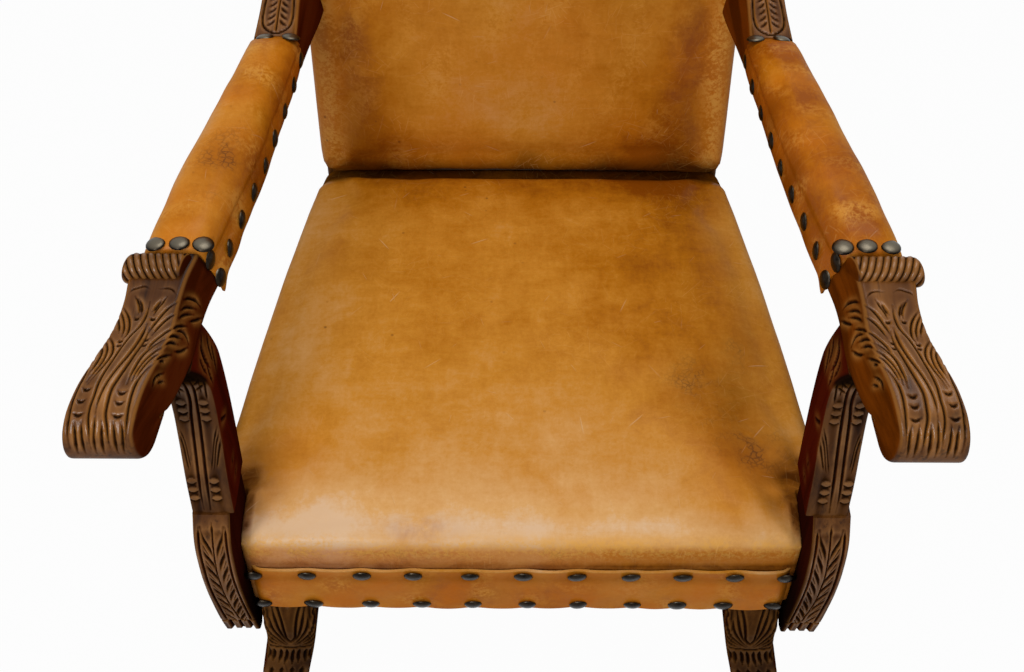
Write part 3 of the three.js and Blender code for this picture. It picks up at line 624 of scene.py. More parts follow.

# The right arm's cheek colour is paler than the left's: lit and shaded copies of one walnut, painted light
# from the left falling on the right arm's inner side.
for side_name, side, cheek_polish_and_light in (("left", -1.0, (0.07, 0.009, 0.001)), ("right", 1.0, (0.15, 0.032, 0.001))):
    loops, height = arm_shape()
    if side > 0:
        loops[:, :, 0] -= LESS_TURN * falling(loops[:, :, 1], 122.0, 186.0)
    arm = carve(f"carved_arm_{side_name}", loops, height, side)
    roll = carve(f"arm_roll_{side_name}", *roll_shape(28.0 if side > 0 else 21.0), side)
    bpy.ops.object.select_all(action="DESELECT")
    roll.select_set(True)
    arm.select_set(True)
    bpy.context.view_layer.objects.active = arm
    bpy.ops.object.join()
    fit(arm, walnut(f"walnut_arm_{side_name}", LENGTHWISE, cheek_polish_and_light), "walnut", f"arm_{side_name}")

# Arm supports: an S-scroll in two sawn walnut lengths, the upper hollow at the front and the
# lower full, each carved on its front face and pegged to the arm and the seat rail.
# Lofted on the CAD outlines, cut in front and at the sides; the right one stands further in.


def plank(front, back, inner, outer, lean=0.0, tuck=0.0, count=40):
    def even(points):
        points = np.asarray(points, float)
        walk = np.r_[0.0, np.cumsum(np.linalg.norm(np.diff(points, axis=0), axis=1))]
        return through(np.c_[walk, points], np.linspace(0.0, walk[-1], count))
    rows = []
    for (y, z), (back_y, back_z) in zip(even(front), even(back)):
        shift = lean * (z - 505) / 177 + tuck * rising(z, 640, 44)**1.5
        rows.append((y, z, back_y, back_z, (inner + outer) / 2 + shift, outer - inner, 0))
    return rows


UPPER_FRONT = ((0, 505.3), (9, 540), (23, 579), (34, 615), (37, 639.5), (31, 664), (20, 683.7))
UPPER_BACK = ((60, 505.3), (71, 549), (79, 590), (83, 624), (83, 657), (79, 683.7))
LOWER_FRONT = ((-2, 505), (-16, 486), (-24, 445), (-23, 405), (-18, 367), (-10, 323), (-3, 295))
LOWER_BACK = ((60, 505), (59, 475), (55, 430), (48, 380), (38, 337), (26, 300), (10, 289))
UPPER_STEM = (
    ((172, 0), (141, -2), (126, -2), (109, -4), (92, -5), (69, -6), (46, -7), (22, -8), (4, -8)),
    ((172, 6), (135, 4), (116, 3), (92, 2), (69, 1), (46, 0), (22, -1), (4, -2)),
)
UPPER_FEATHERS = (
    ((98, 17), (80, 12), (61, 8), (46, 5)), ((92, 18), (77, 13.5), (56, 9.5), (44, 7)),
    ((84, 18.5), (66, 14), (49, 10)), ((98, -17), (80, -14), (61, -13), (46, -12)),
    ((92, -18), (77, -16), (56, -15), (44, -14)),
    ((165, 16), (150, 11), (130, 9)), ((165, -16), (150, -11), (130, -9)), ((158, 18), (140, 14), (126, 13)),
    ((158, -18), (140, -14), (126, -13)),
)
UPPER_SIDE = (
    ((182, 62), (175, 50), (165, 41), (152, 36)), ((180, 52), (170, 42), (158, 35)),
    ((172, 66), (162, 54), (150, 46)), ((176, 38), (166, 31), (156, 27)), ((160, 60), (148, 50), (138, 44)),
    ((160, 36), (150, 30), (140, 27)), ((98, 26), (90, 36), (84, 46)),
    ((40, 44), (34, 45)), ((22, 48), (16, 47)),
)


def upper_cut(s, a):
    h = -0.9 * hump(np.abs(a + 2), 11, 4.0) * falling(s, 175, 10)
    for lines, width, depth in ((UPPER_STEM, 2.2, 2.4), (UPPER_FEATHERS, 1.8, 1.7), (UPPER_SIDE, 2.2, 2.4)):
        for line in lines:
            h = deeper(h, gouge(s, a, line, width, depth, 0.2))
    for line in UPPER_SIDE:
        h = deeper(h, gouge(s, a, [(x, -y) for x, y in line], 2.2, 2.4))
    for along, places in ((121, (-10.5, 9.0)), (112, (-10.5, 9.0)), (103, (-10.5, 9.0)),
                          (35, (-14.0, 6.5)), (25, (-14.0, 6.5)), (15, (-14.0, 6.5))):
        for around in places:
            h += boss(s, a, (along + 3.0, around), (3.8, 4.6), 1.4)
            bow = ((along + 1.5, around - 5.0), (along - 1.2, around), (along + 1.5, around + 5.0))
            h = deeper(h, gouge(s, a, bow, 1.5, 1.4, 0.1))
    for turn in (-1, 1):
        for k in range(5):
            tip = 138 + 8 * k
            cut = ((tip + 12, (15 - 2 * k) * turn), (tip + 4, 9 * turn), (tip, 4 * turn))
            h = deeper(h, gouge(s, a, cut, 2.6, 2.4))
    return h


LOWER_VEIN = ((8, 0), (26, 0), (50, -1), (72, -2), (94, -2), (116, -2), (144, -1), (168, 1), (190, 2))
LOWER_BEADS = (
    ((12, -12.5), (34, -13), (66, -13), (105, -13), (148, -12), (190, -11)),
    ((12, 12.5), (36, 12.5), (66, 12), (94, 12), (128, 12.5), (161, 13), (190, 13.5)),
)


def lower_cut(s, a):
    h = np.zeros_like(s)
    field = falling(np.abs(a), 12.0, 2.0) * rising(s, 14, 5)
    h -= field * 0.9
    for line in (LOWER_VEIN, *LOWER_BEADS):
        h = deeper(h, gouge(s, a, line, 1.9, 2.6, 0.04))
    for k in range(8):
        at = 16 + 21.0 * k
        for turn in (-1, 1):
            vein = ((at + 38, 0.8 * turn), (at + 22, 4.0 * turn), (at + 8, 8.5 * turn), (at - 4, 11.0 * turn))
            h = deeper(h, gouge(s, a, vein, 3.6, 3.6, 0.4))
            fine = ((at + 36, 3.2 * turn), (at + 24, 7.2 * turn), (at + 10, 11.2 * turn))
            h = deeper(h, gouge(s, a, fine, 1.6, 1.9))
    h = deeper(h, gouge(s, a, ((186, -18), (189, 0), (186, 18)), 2.6, 3.4, 0.0))
    for around in (-9, 0.5, 10):
        h = deeper(h, gouge(s, a, ((190, around), (203, around), (219, around)), 3.2, 4.0, 0.0))
    return h


for side_name, side in SIDES:
    inner, tuck = (261.0, 5.0) if side > 0 else (264.0, 7.0)
    upper = plank(UPPER_FRONT, UPPER_BACK, inner, inner + 39.0, 6.5, tuck)
    upper = billet(sections(upper, 1.25), 2.5, 56, 26, 6, 4)
    along, around = unrolled(upper, 56)
    # Painted shade: the top of the front face, under the grip, goes almost black, and the whole support is a
    # little darker, more so near its foot.
    shade = (0.85 * rising(along, 146, 12) * falling(np.abs(around), 24, 3) + 0.2
             + 0.1 * falling(along, 30, 30))
    support = carve(f"carved_support_{side_name}", upper, upper_cut(along, around), side, shade)
    lower = billet(sections(plank(LOWER_FRONT, LOWER_BACK, 268.0, 303.0), 1.25), 2.5, 56, 26, 6, 4)
    along, around = unrolled(lower, 56)
    # The scroll darkens towards its lower end; its inner side, by the slit beside the seat, goes almost black
    # with painted shade.
    shade = 0.12 + 0.28 * rising(along, 60, 80)
    shade += 0.6 * falling(lower[:, :, 0], 271, 3)
    scroll = carve(f"carved_seat_scroll_{side_name}", lower, lower_cut(along, around), side, shade)
    for piece, node in ((support, "arm_support"), (scroll, "seat_scroll")):
        fit(piece, walnut_upright, "walnut", f"{node}_{side_name}")

# Front legs: turned-out walnut legs with a carved knee under the rail, a plain tongue between
# fanned cuts, a ring of short flutes below it and a fluted shaft down to a block foot.
# Lofted on the CAD sections and cut in the same way; the square top is hidden in the rails.
LEG_ROWS = (
    (1.0, 0, 0, 53, 52), (0.98, 0, -5, 54, 58), (0.93, 0, -10, 54, 64), (0.86, 0.05, -11, 51, 62),
    (0.76, 0.22, -12, 49, 56), (0.59, 0.65, -13, 50, 52), (0.42, 0.95, -13, 46, 48), (0.24, 1, -12, 41, 44),
    (0.1, 0.95, -10, 44, 46), (0.03, 0.9, -10, 52, 54), (0, 0.88, -10, 50, 52),
)
KNEE_TONGUE = (
    (4, -12), (16, -9), (27, -7), (42, -5.5), (56, -4), (63, 0),
    (56, 4), (42, 5.5), (27, 7), (16, 9), (4, 12),
)
KNEE_RAYS = (
    ((3, 17), (18, 14.5), (36, 11), (52, 7.5), (64, 3)), ((4, 22), (22, 20), (42, 15), (58, 9), (68, 3)),
    ((10, 28), (28, 26), (46, 20), (62, 11), (71, 4)), ((30, 33), (42, 29), (56, 20), (68, 10)),
    ((44, 35), (54, 29), (64, 20), (72, 10)), ((20, 36), (24, 31), (33, 27)), ((6, 34), (10, 29), (18, 24)),
)


def leg_cut(s, a):
    h = np.zeros_like(s)
    h += 1.5 * hump(a, 0, 6.0) * falling(s, 60, 20)
    h = deeper(h, gouge(s, a, KNEE_TONGUE, 2.2, 2.6, 0.0))
    for turn in (-1, 1):
        for ray in KNEE_RAYS:
            line = [(x, y * turn) for x, y in ray]
            h = deeper(h, gouge(s, a, line, 2.4, 2.6))
        for around, low in ((4, 116), (10, 112), (17, 108), (23, 104)):
            cut = ((79, around * turn), (92, (around - 1) * turn), (low, around * turn))
            h = deeper(h, gouge(s, a, cut, 2.8, 3.0))
        for around in (5.5, 16.0, 34.0, 48.0, 62.0):
            flute = ((122, around * turn), (200, around * turn * 0.97), (322, around * turn * 0.93))
            h = deeper(h, gouge(s, a, flute, 3.6, 2.2, 0.04))
    h = deeper(h, gouge(s, a, ((70, -28), (75, -13), (77, 0), (75, 13), (70, 28)), 2.6, 2.8, 0.0))
    return h


LEG_TOP = 342.7
leg_rows = []
for up, sweep, forward, width, depth in LEG_ROWS:
    leg_y = 28.8 + forward
    leg_rows.append((leg_y - depth / 2, LEG_TOP * up, leg_y + depth / 2, LEG_TOP * up,
                     234.4 + 28 * sweep, width, 0))
for side_name, side in SIDES:
    shaft = billet(sections(leg_rows, 2.0), 8, 60, 30, 8, 6)
    block = billet(np.array([(2.8, z, 54.8, z, 234.4, 53, 0) for z in (413.0, 343.0)]), 8, 60, 30, 8, 6)
    cuts = np.concatenate([np.zeros(block.shape[:2]), leg_cut(*unrolled(shaft, 60))])
    leg = carve(f"carved_front_leg_{side_name}", np.concatenate([block, shaft]), cuts, side, 0.55)
    fit(leg, walnut_upright, "walnut", f"front_leg_{side_name}")

# Rails and posts: plain sawn walnut, mostly behind the leather; the CAD shapes stay as they are.
# Posts stand upright, the side rails run front to back and the other rails run across.
for node, finish in (
    ("rear_post_left", walnut_upright), ("rear_post_right", walnut_upright),
    ("side_rail_left", walnut_lengthwise), ("side_rail_right", walnut_lengthwise),
    ("front_rail", walnut_crosswise), ("rear_rail", walnut_crosswise),
    ("back_top_rail", walnut_crosswise), ("back_lower_rail", walnut_crosswise),
    ("arm_dowel_left", walnut_upright), ("arm_dowel_right", walnut_upright),
    ("scroll_dowel_left", walnut_upright), ("scroll_dowel_right", walnut_upright),
):
    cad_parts[node].data.materials.clear()
    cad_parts[node].data.materials.append(finish)

# Seat cover: one tan hide drawn tight over the stuffing and down the rails, rounded at the
# edge, cut round the two arm supports at the front corners, worn pale in front with a painted
# sheen on the rounded edge, and dark behind with painted shade from the back.
# Extruded from its plan, bevelled, remeshed, swelled as cloth and drawn straight at the sides.
SEAT_TOP = 453.0
SEAT_BOTTOM = 343.0
SEAT_REAR = 542.4
HIDE_VOXEL = 0.0075
SEAT_FRONT_HALF = (
    (0, 0), (60, -0.4), (120, -0.4), (180, 0), (228, 0.4), (256, 0.8), (264, 3), (267, 9), (267.6, 18),
    (267.6, 40), (267.6, 57), (269, 64), (274, 66.3), (286, 66.3), (294, 68), (298.5, 73), (299, 84),
)
SIDE_SPAN = (84, 528)
SEAT_SIDE = (
    (84, 299), (110, 297), (171, 290), (224, 284), (280, 276.5), (339, 268.5), (401, 258.5), (466, 247.5),
    (513, 238.8), (528, 236),
)


def held_leather(name, voxel, is_back):
    """Even quads over a closed body, then its hidden side taken off, so that a skin is left."""
    piece = bpy.context.object
    piece.name = name
    piece.data.name = name
    remesh = piece.modifiers.new("even", "REMESH")
    remesh.mode = "VOXEL"
    remesh.voxel_size = voxel
    bpy.ops.object.modifier_apply(modifier=remesh.name)
    smooth = piece.modifiers.new("ease", "SMOOTH")
    smooth.factor = 0.5
    smooth.iterations = 5
    bpy.ops.object.modifier_apply(modifier=smooth.name)
    piece.data.polygons.foreach_set("select", [is_back(face) for face in piece.data.polygons])
    piece.data.edges.foreach_set("select", [False] * len(piece.data.edges))
    piece.data.vertices.foreach_set("select", [False] * len(piece.data.vertices))
    bpy.ops.object.mode_set(mode="EDIT")
    bpy.ops.mesh.select_mode(type="FACE")
    bpy.ops.mesh.delete(type="FACE")
    bpy.ops.mesh.select_mode(type="VERT")
    bpy.ops.object.mode_set(mode="OBJECT")
    return piece


def points(piece):
    at = np.empty(len(piece.data.vertices) * 3)
    piece.data.vertices.foreach_get("co", at)
    return at.reshape(-1, 3)


def move_points(piece, at):
    piece.data.vertices.foreach_set("co", np.ascontiguousarray(at).reshape(-1))
    piece.data.update()


def swell(piece, held, pressure, reach):
    """Blows the skin up as cloth from the stuffing below; held points stay, others rise along
    their own facing, no further than reach."""
    before = points(piece)
    group = piece.vertex_groups.new(name="held")
    group.add([int(i) for i in np.flatnonzero(held)], 1.0, "REPLACE")
    cloth = piece.modifiers.new("swell", "CLOTH")
    cloth.settings.quality = 5
    cloth.settings.mass = 0.35
    cloth.settings.tension_stiffness = 30.0
    cloth.settings.compression_stiffness = 30.0
    cloth.settings.shear_stiffness = 10.0
    cloth.settings.bending_stiffness = 2.0
    cloth.settings.vertex_group_mass = "held"
    cloth.settings.use_pressure = True
    cloth.settings.uniform_pressure_force = pressure
    cloth.settings.effector_weights.gravity = 0.0
    cloth.collision_settings.use_collision = False
    cloth.point_cache.frame_start = 1
    cloth.point_cache.frame_end = 20
    for step in range(1, 21):
        scene.frame_set(step)
    posed = piece.evaluated_get(bpy.context.evaluated_depsgraph_get())
    after = np.empty(before.size)
    posed.data.vertices.foreach_get("co", after)
    way = np.empty(before.size)
    piece.data.vertices.foreach_get("normal", way)
    way = way.reshape(-1, 3)
    length = ((after.reshape(-1, 3) - before) * way).sum(axis=1, keepdims=True)
    moved = way * reach * np.tanh(np.maximum(length, 0.0) / reach)
    piece.modifiers.remove(cloth)
    piece.vertex_groups.clear()
    scene.frame_set(1)
    move_points(piece, before + moved)


def refine(piece):
    bpy.ops.object.select_all(action="DESELECT")
    piece.select_set(True)
    bpy.context.view_layer.objects.active = piece
    finer = piece.modifiers.new("finer", "SUBSURF")
    finer.levels = 1
    finer.render_levels = 1
    bpy.ops.object.modifier_apply(modifier=finer.name)


def ripple(first, second, length, seed):
    """Seeded soft waves between -1 and 1, about one length across."""
    dice = np.random.default_rng(seed)
    total = np.zeros_like(first)
    for _ in range(7):
        turn, phase = dice.uniform(0, 2 * math.pi, 2)
        pitch = 2 * math.pi / (length * dice.uniform(0.7, 1.5))
        total += np.sin(pitch * (first * math.cos(turn) + second * math.sin(turn)) + phase)
    return total / 4.0


def thicken(piece, thickness=0.0025):
    wall = piece.modifiers.new("hide", "SOLIDIFY")
    wall.thickness = thickness
    wall.offset = -1.0
    wall.use_even_offset = False
    bpy.ops.object.modifier_apply(modifier=wall.name)
    bpy.ops.object.shade_smooth_by_angle(angle=math.radians(60))


def tint(piece, **masks):
    for label, mask in masks.items():
        layer = piece.data.attributes.new(label, "FLOAT", "POINT")
        layer.data.foreach_set("value", np.clip(mask, 0, 1).astype(np.float32))


outline = list(SEAT_FRONT_HALF)
for y in np.linspace(100, 528, 22):
    outline.append((float(through(SEAT_SIDE, y)[0, 0]), y))
outline += [(232, 537), (225, 541.5), (215, SEAT_REAR), (100, SEAT_REAR), (0, SEAT_REAR)]
outline += [(-x, y) for x, y in outline[-2:0:-1]]
bpy.ops.object.select_all(action="DESELECT")
bpy.ops.mesh.primitive_circle_add(vertices=len(outline), radius=1.0, fill_type="NGON")
seat = bpy.context.object
move_points(seat, np.array([(x, y + SEAT_FRONT, SEAT_BOTTOM) for x, y in outline]) * 0.001)
bpy.ops.object.mode_set(mode="EDIT")
bpy.ops.mesh.select_all(action="SELECT")
bpy.ops.mesh.extrude_region_move(
    TRANSFORM_OT_translate={"value": (0.0, 0.0, (SEAT_TOP - SEAT_BOTTOM) * 0.001)})
bpy.ops.mesh.region_to_loop()
bpy.ops.mesh.bevel(offset=0.015, segments=4, affect="EDGES")
bpy.ops.mesh.select_all(action="SELECT")
bpy.ops.mesh.normals_make_consistent(inside=False)
bpy.ops.object.mode_set(mode="OBJECT")
seat = held_leather("seat_hide", HIDE_VOXEL, lambda face: face.normal.z < -0.5)
rest = points(seat) * 1000.0
side_at = np.clip(rest[:, 1] - SEAT_FRONT, *SIDE_SPAN)
reach_in = np.minimum(through(SEAT_SIDE, side_at)[:, 0] - np.abs(rest[:, 0]),
                      np.minimum(rest[:, 1] - SEAT_FRONT, SEAT_REAR + SEAT_FRONT - rest[:, 1]))
CROWN = ((-20, 0), (0, 0), (16, 0.6), (75, 5.0), (150, 8.0), (320, 8.5))
crown = through(CROWN, np.clip(reach_in, -20, 320))[:, 0]
rest[:, 2] += crown * rising(rest[:, 2], 440, 8)
rest *= 0.001
move_points(seat, rest)
swell(seat, rest[:, 2] < 0.418, 4.0, 0.006)
refine(seat)
at = points(seat) * 1000.0
x, y, z = at[:, 0], at[:, 1] - SEAT_FRONT, at[:, 2]
top = rising(z, 430, 18)
side_half = through(SEAT_SIDE, np.clip(y, *SIDE_SPAN))[:, 0]
stray = np.abs(x) - side_half
on_side = (stray > -17) & (y > 92) & (y < 520) & (z < 451)
level = np.round((z - SEAT_BOTTOM) / 2.5).astype(int)
levels = np.unique(level[on_side])
profile = [stray[on_side & (level == one)].mean() for one in levels]
straight = np.interp(z, SEAT_BOTTOM + 2.5 * levels, profile) - stray
straight *= rising(y, 92, 20) * falling(y, 520, 20) * falling(z, 451, 4)
x = np.where(on_side, x + 0.9 * np.sign(x) * straight, x)
rail_end = patch(np.abs(x), 297, 10, y, 72, 10)
x = x + np.sign(x) * 2.8 * rail_end
y = y - 2.2 * rail_end
front_corner = patch(np.abs(x), 256, 26, y, 10, 42)
notch = patch(np.abs(x), 268, 20, y, 72, 26)
z += top * (0.9 * ripple(x, y, 120, 3) + 0.35 * ripple(x, y, 42, 4))
z += top * front_corner * 1.6 * np.sin(np.arctan2(y + 6, 262 - np.abs(x)) * 9.0)
z -= top * notch * (2.0 + 1.4 * np.sin((np.abs(x) + y) / 5.0))
z = np.where(y < 24, z + 0.8 * ripple(x, z, 55, 8) * falling(y, 24, 20) * top, z)
spare = rising(np.abs(x), 212, 40) * falling(y, 66, 8)
x = np.where(y < 66, np.sign(x) * np.minimum(np.abs(x) + 6.5 * spare, np.maximum(np.abs(x) - 4, 267.8)), x)
z -= top * 11.0 * rising(y, 496, 20)
move_points(seat, np.stack([x, y + SEAT_FRONT, z], axis=1) * 0.001)
# Tone: the hide's own paler and darker colour with painted light in it: a painted sheen on the rounded front
# edge and along the outer sides towards the rear, and painted shade deepening towards the back.
tone = through(
    ((-40, 0.82), (0, 0.96), (14, 0.98), (40, 0.8), (90, 0.62), (170, 0.52), (240, 0.43),
     (310, 0.43), (380, 0.4),
     (450, 0.35), (490, 0.17), (560, 0.05)), y)[:, 0]
tone -= 0.16 * hump(x, 150, 75) * rising(y, 60, 80)
tone -= 0.07 * hump(x, -130, 70) * rising(y, 120, 80)
tone += 0.08 * hump(x, -190, 60)
tone += 0.2 * rising(np.abs(x) - side_half, -60, 50) * rising(y, 230, 140)
tone -= 0.14 * rising(x, 120, 140) * falling(y, 140, 100)
face = falling(z, 446, 8) * falling(y, 30, 12)
right = rising(x, 40, 100)
tone -= (0.14 + 0.16 * right) * face
tone -= 0.16 * hump(x, 85, 60) * falling(y, 20, 14)
edge = rising(np.abs(x) - side_half, -16, 14) * rising(y, 60, 20)
# Grime and painted shade: painted shade darkens the seat into the gap under the back, round the notches,
# below the top edge, in the slits beside the supports and in a thin line just above the band; the other dark
# patches by the supports and along the sides share the same mask.
grime = rising(y, 500, 16) + 0.4 * notch
grime += 0.6 * edge * falling(y, 260, 120)
grime += 0.5 * patch(x, 215, 22, y, 160, 45)
grime += 0.3 * falling(z, 430, 20)
slit = rising(np.abs(x), 257, 7) * rising(y, 6, 16) * falling(y, 90, 30)
smudge = rising(np.abs(x), 222, 40) * rising(y, 14, 40) * falling(y, 130, 45)
grime += 1.3 * slit + (0.4 + 0.3 * right) * smudge * (1 + 0.6 * ripple(x, y, 24, 6))
corner = patch(x, -218, 36, y, 100, 55) + 1.3 * patch(x, 218, 42, y, 88, 60)
tone -= 0.2 * corner
grime += (0.3 + 0.5 * right) * hump(z, 416, 4) * falling(y, 20, 10) + 0.2 * face * right
rubbed = hump(z, 438, 10) * falling(y, 18, 10)
rubbed += 0.6 * hump(y, 4, 8) * top
stain = patch(x, -98, 30, y, 15, 13)
scuff = 0.8 * patch(x, 178, 24, y, 180, 36) + patch(x, 225, 30, y, 112, 26)
scuff += 0.6 * patch(x, 232, 16, y, 232, 30) + 0.2 * face
tint(seat, tone=tone, grime=grime, rubbed=rubbed, stain=stain, scuff=scuff,
     blush=face + 0.8 * slit + 0.6 * smudge + 0.3 * corner,
     fret=0.25 + 0.3 * ripple(x, y, 120, 5) + 0.8 * hump(z, 438, 10) * falling(y, 20, 10))
thicken(seat)


old_hide, given, result = new_group("old_hide", {"Lay": "Vector"}, SURFACE)
tree = old_hide
flat = put(tree, "ShaderNodeMapping")
tree.links.new(put(tree, "ShaderNodeTexCoord").outputs["Object"], flat.inputs["Vector"])
tree.links.new(given.outputs["Lay"], flat.inputs["Rotation"])
laid = flat.outputs[0]


def strokes(cells, reach, fine, kept):
    """Short straight scratches, one at most in each cell and each turned its own way."""
    cell = put(tree, "ShaderNodeTexVoronoi", Scale=cells)
    tree.links.new(laid, cell.inputs["Vector"])
    offset = put(tree, "ShaderNodeVectorMath", operation="SUBTRACT")
    tree.links.new(laid, offset.inputs[0])
    tree.links.new(cell.outputs["Position"], offset.inputs[1])
    dice = put(tree, "ShaderNodeSeparateXYZ")
    tree.links.new(cell.outputs["Color"], dice.inputs[0])
    spun = put(tree, "ShaderNodeVectorRotate", rotation_type="Z_AXIS")
    tree.links.new(offset.outputs[0], spun.inputs["Vector"])
    tree.links.new(times(tree, dice.outputs[0], 6.28), spun.inputs["Angle"])
    along = put(tree, "ShaderNodeSeparateXYZ")
    tree.links.new(spun.outputs[0], along.inputs[0])
    length = spread(tree, sums(tree, "ABSOLUTE", along.outputs[0], 0.0), reach / cells, 0.4 * reach / cells)
    width = spread(tree, sums(tree, "ABSOLUTE", along.outputs[1], 0.0), fine / cells, 0.0)
    line = times(tree, length, width)
    return times(tree, line, spread(tree, dice.outputs[1], kept, kept + 0.3))


cloud = noise(tree, laid, 7.0, 4.0, 0.62, 0.5)
blotch = noise(tree, laid, 26.0, 4.0, 0.66, 0.7)
grain = noise(tree, laid, 230.0, 3.0, 0.7)
# The colour starts from the piece's tone, painted light and shade included, with mottling over it.
dye_and_light = plus(tree, mask(tree, "tone"), spread(tree, cloud, 0.3, 0.7, -0.14, 0.14))
dye_and_light = plus(tree, dye_and_light, spread(tree, blotch, 0.3, 0.7, -0.08, 0.08))
dye_and_light = plus(tree, dye_and_light, spread(tree, grain, 0.3, 0.7, -0.05, 0.05))
for drawn in ((1.0, 0.2, 1.0), (0.2, 1.0, 1.0)):
    pulled = put(tree, "ShaderNodeVectorMath", operation="MULTIPLY")
    pulled.inputs[1].default_value = drawn
    tree.links.new(laid, pulled.inputs[0])
    dye_and_light = plus(tree, dye_and_light, spread(tree, noise(tree, pulled.outputs[0], 90.0, 4.0, 0.7), 0.3, 0.7, -0.04, 0.04))
# The palest stops give the painted sheen where the tone runs highest.
colour = ramp(tree, dye_and_light, (
    (0.03, (0.225, 0.055, 0.001)), (0.28, (0.41, 0.138, 0.005)), (0.5, (0.53, 0.215, 0.022)),
    (0.82, (0.63, 0.335, 0.115)), (1.02, (0.66, 0.43, 0.25))))
blush = times(tree, mask(tree, "blush"), spread(tree, blotch, 0.3, 0.65, 0.45, 1.0))
colour = over(tree, times(tree, blush, 0.8), colour, (0.52, 0.135, 0.008))
flecks = plus(tree, times(tree, blotch, 0.5), times(tree, grain, 0.5))
rub_share = times(tree, mask(tree, "rubbed"), spread(tree, flecks, 0.45, 0.56))
colour = over(tree, times(tree, rub_share, 0.75), colour, (0.68, 0.33, 0.06))
stain_share = times(tree, mask(tree, "stain"), spread(tree, blotch, 0.35, 0.6))
colour = over(tree, times(tree, stain_share, 0.5), colour, (0.31, 0.115, 0.07))
# Grime and painted shade share one near-black brown.
grime_share = times(tree, mask(tree, "grime"), spread(tree, blotch, 0.25, 0.6, 0.45, 1.0))
colour = over(tree, times(tree, grime_share, 0.9), colour, (0.04, 0.009, 0.001))
scuff = mask(tree, "scuff")
crazed = put(tree, "ShaderNodeTexVoronoi", Scale=190.0, feature="DISTANCE_TO_EDGE")
bent = put(tree, "ShaderNodeVectorMath", operation="MULTIPLY_ADD")
wander = put(tree, "ShaderNodeTexNoise", Scale=60.0, Detail=3.0)
tree.links.new(laid, wander.inputs["Vector"])
tree.links.new(wander.outputs["Color"], bent.inputs[0])
bent.inputs[1].default_value = (0.012, 0.012, 0.012)
tree.links.new(laid, bent.inputs[2])
tree.links.new(bent.outputs[0], crazed.inputs["Vector"])
cracks = times(tree, spread(tree, crazed.outputs["Distance"], 0.16, 0.0), spread(tree, blotch, 0.48, 0.62))
hairs = sums(tree, "MAXIMUM", strokes(47.0, 0.9, 0.03, 0.0), strokes(95.0, 0.9, 0.05, 0.1))
fret = times(tree, hairs, times(tree, mask(tree, "fret"), spread(tree, blotch, 0.35, 0.6)))
colour = over(tree, times(tree, fret, 0.5), colour, (0.68, 0.37, 0.12))
colour = over(tree, times(tree, cracks, times(tree, scuff, 0.9)), colour, (0.03, 0.012, 0.008))
haze = times(tree, scuff, spread(tree, blotch, 0.35, 0.65, 0.1, 0.55))
colour = over(tree, haze, colour, (0.13, 0.045, 0.016))
scratches = sums(tree, "MAXIMUM", strokes(12.0, 0.14, 0.011, 0.66), strokes(31.0, 0.22, 0.016, 0.74))
colour = over(tree, times(tree, scratches, 0.36), colour, (0.7, 0.48, 0.28))
speck = put(tree, "ShaderNodeTexVoronoi", Scale=46.0)
tree.links.new(laid, speck.inputs["Vector"])
dots = times(tree, spread(tree, speck.outputs["Distance"], 0.1, 0.04), spread(tree, cloud, 0.54, 0.62))
colour = over(tree, times(tree, dots, 0.6), colour, (0.10, 0.032, 0.01))
tree.links.new(colour, result.inputs["Colour"])
gloss = plus(tree, spread(tree, blotch, 0.3, 0.7, 0.3, 0.47), times(tree, grime_share, 0.12))
tree.links.new(gloss, result.inputs["Gloss"])
clean = times(tree, spread(tree, grime_share, 0.0, 0.7, 1.0, 0.0), spread(tree, scuff, 0.0, 1.0, 1.0, 0.3))
tree.links.new(times(tree, clean, spread(tree, blotch, 0.3, 0.7, 0.3, 0.12)), result.inputs["Wax"])
relief = plus(tree, times(tree, grain, 0.5), times(tree, blotch, 0.9))
tree.links.new(sums(tree, "SUBTRACT", relief, scratches), result.inputs["Height"])


def hide(name, lay=(0.0, 0.0, 0.0)):
    """Old tan leather: mottled dyed colour, pale hairline scratches, dark specks and rubbed gloss.
    The piece's own masks lay the wear, and the painted light and shade, where they are on the
    chair; lay turns the hide upright."""
    return waxed(name, old_hide, 0.34, 0.35, 0.0012, Lay=lay)


tan_hide = hide("tan_hide")
fit(seat, tan_hide, "tan_leather", "seat_leather", "seat_stuffing")

# Front band: a strip of the same hide nailed over the rail, its upper edge left raw and lifted
# in soft waves between the nails. A fine grid, shaped, then given the hide's thickness.
BAND_UPPER_NAILS = (-261, -208.2, -154.6, -104.9, -49.4, 2.2, 54.6, 107.1, 157.5, 208, 258.3)
BAND_LOWER_NAILS = (-257.3, -207.1, -149.9, -98.7, -47.6, 6.5, 57.5, 111.5, 156.4, 202.3, 252.2)
band = new_grid("front_band_hide", 210, 24)
share = points(band)
BAND_HALF = 262.5
x = share[:, 0] * 2 * BAND_HALF
up = share[:, 1] + 0.5
upper_pin = np.max([np.exp(-((x - nail) / 13.0)**2) for nail in BAND_UPPER_NAILS], axis=0)
lower_pin = np.max([np.exp(-((x - nail) / 13.0)**2) for nail in BAND_LOWER_NAILS], axis=0)
lift = rising(up, 0.72, 0.28)**1.5 * (1 - upper_pin) * (1.2 + 0.5 * np.sin(x / 31.0))
lift += falling(up, 0.25, 0.25) * (1 - lower_pin) * 1.0
lift += 1.1 * np.sin(math.pi * np.clip(up, 0, 1)) + 0.5 * ripple(x, up * 70, 60, 12)
lift -= 0.9 * np.maximum(upper_pin * hump(up, 0.86, 0.16), lower_pin * hump(up, 0.1, 0.16))
z = 343.0 + up * (70.0 + 0.5 * np.sin(x / 27.0) + 0.3 * np.sin(x / 11.5 + 1.0) - 0.4 * upper_pin)
z += 0.8 * np.sin(x / 50) * (1 - up)
wrap = rising(np.abs(x), 253.0, 9.5)**2 * 6.0
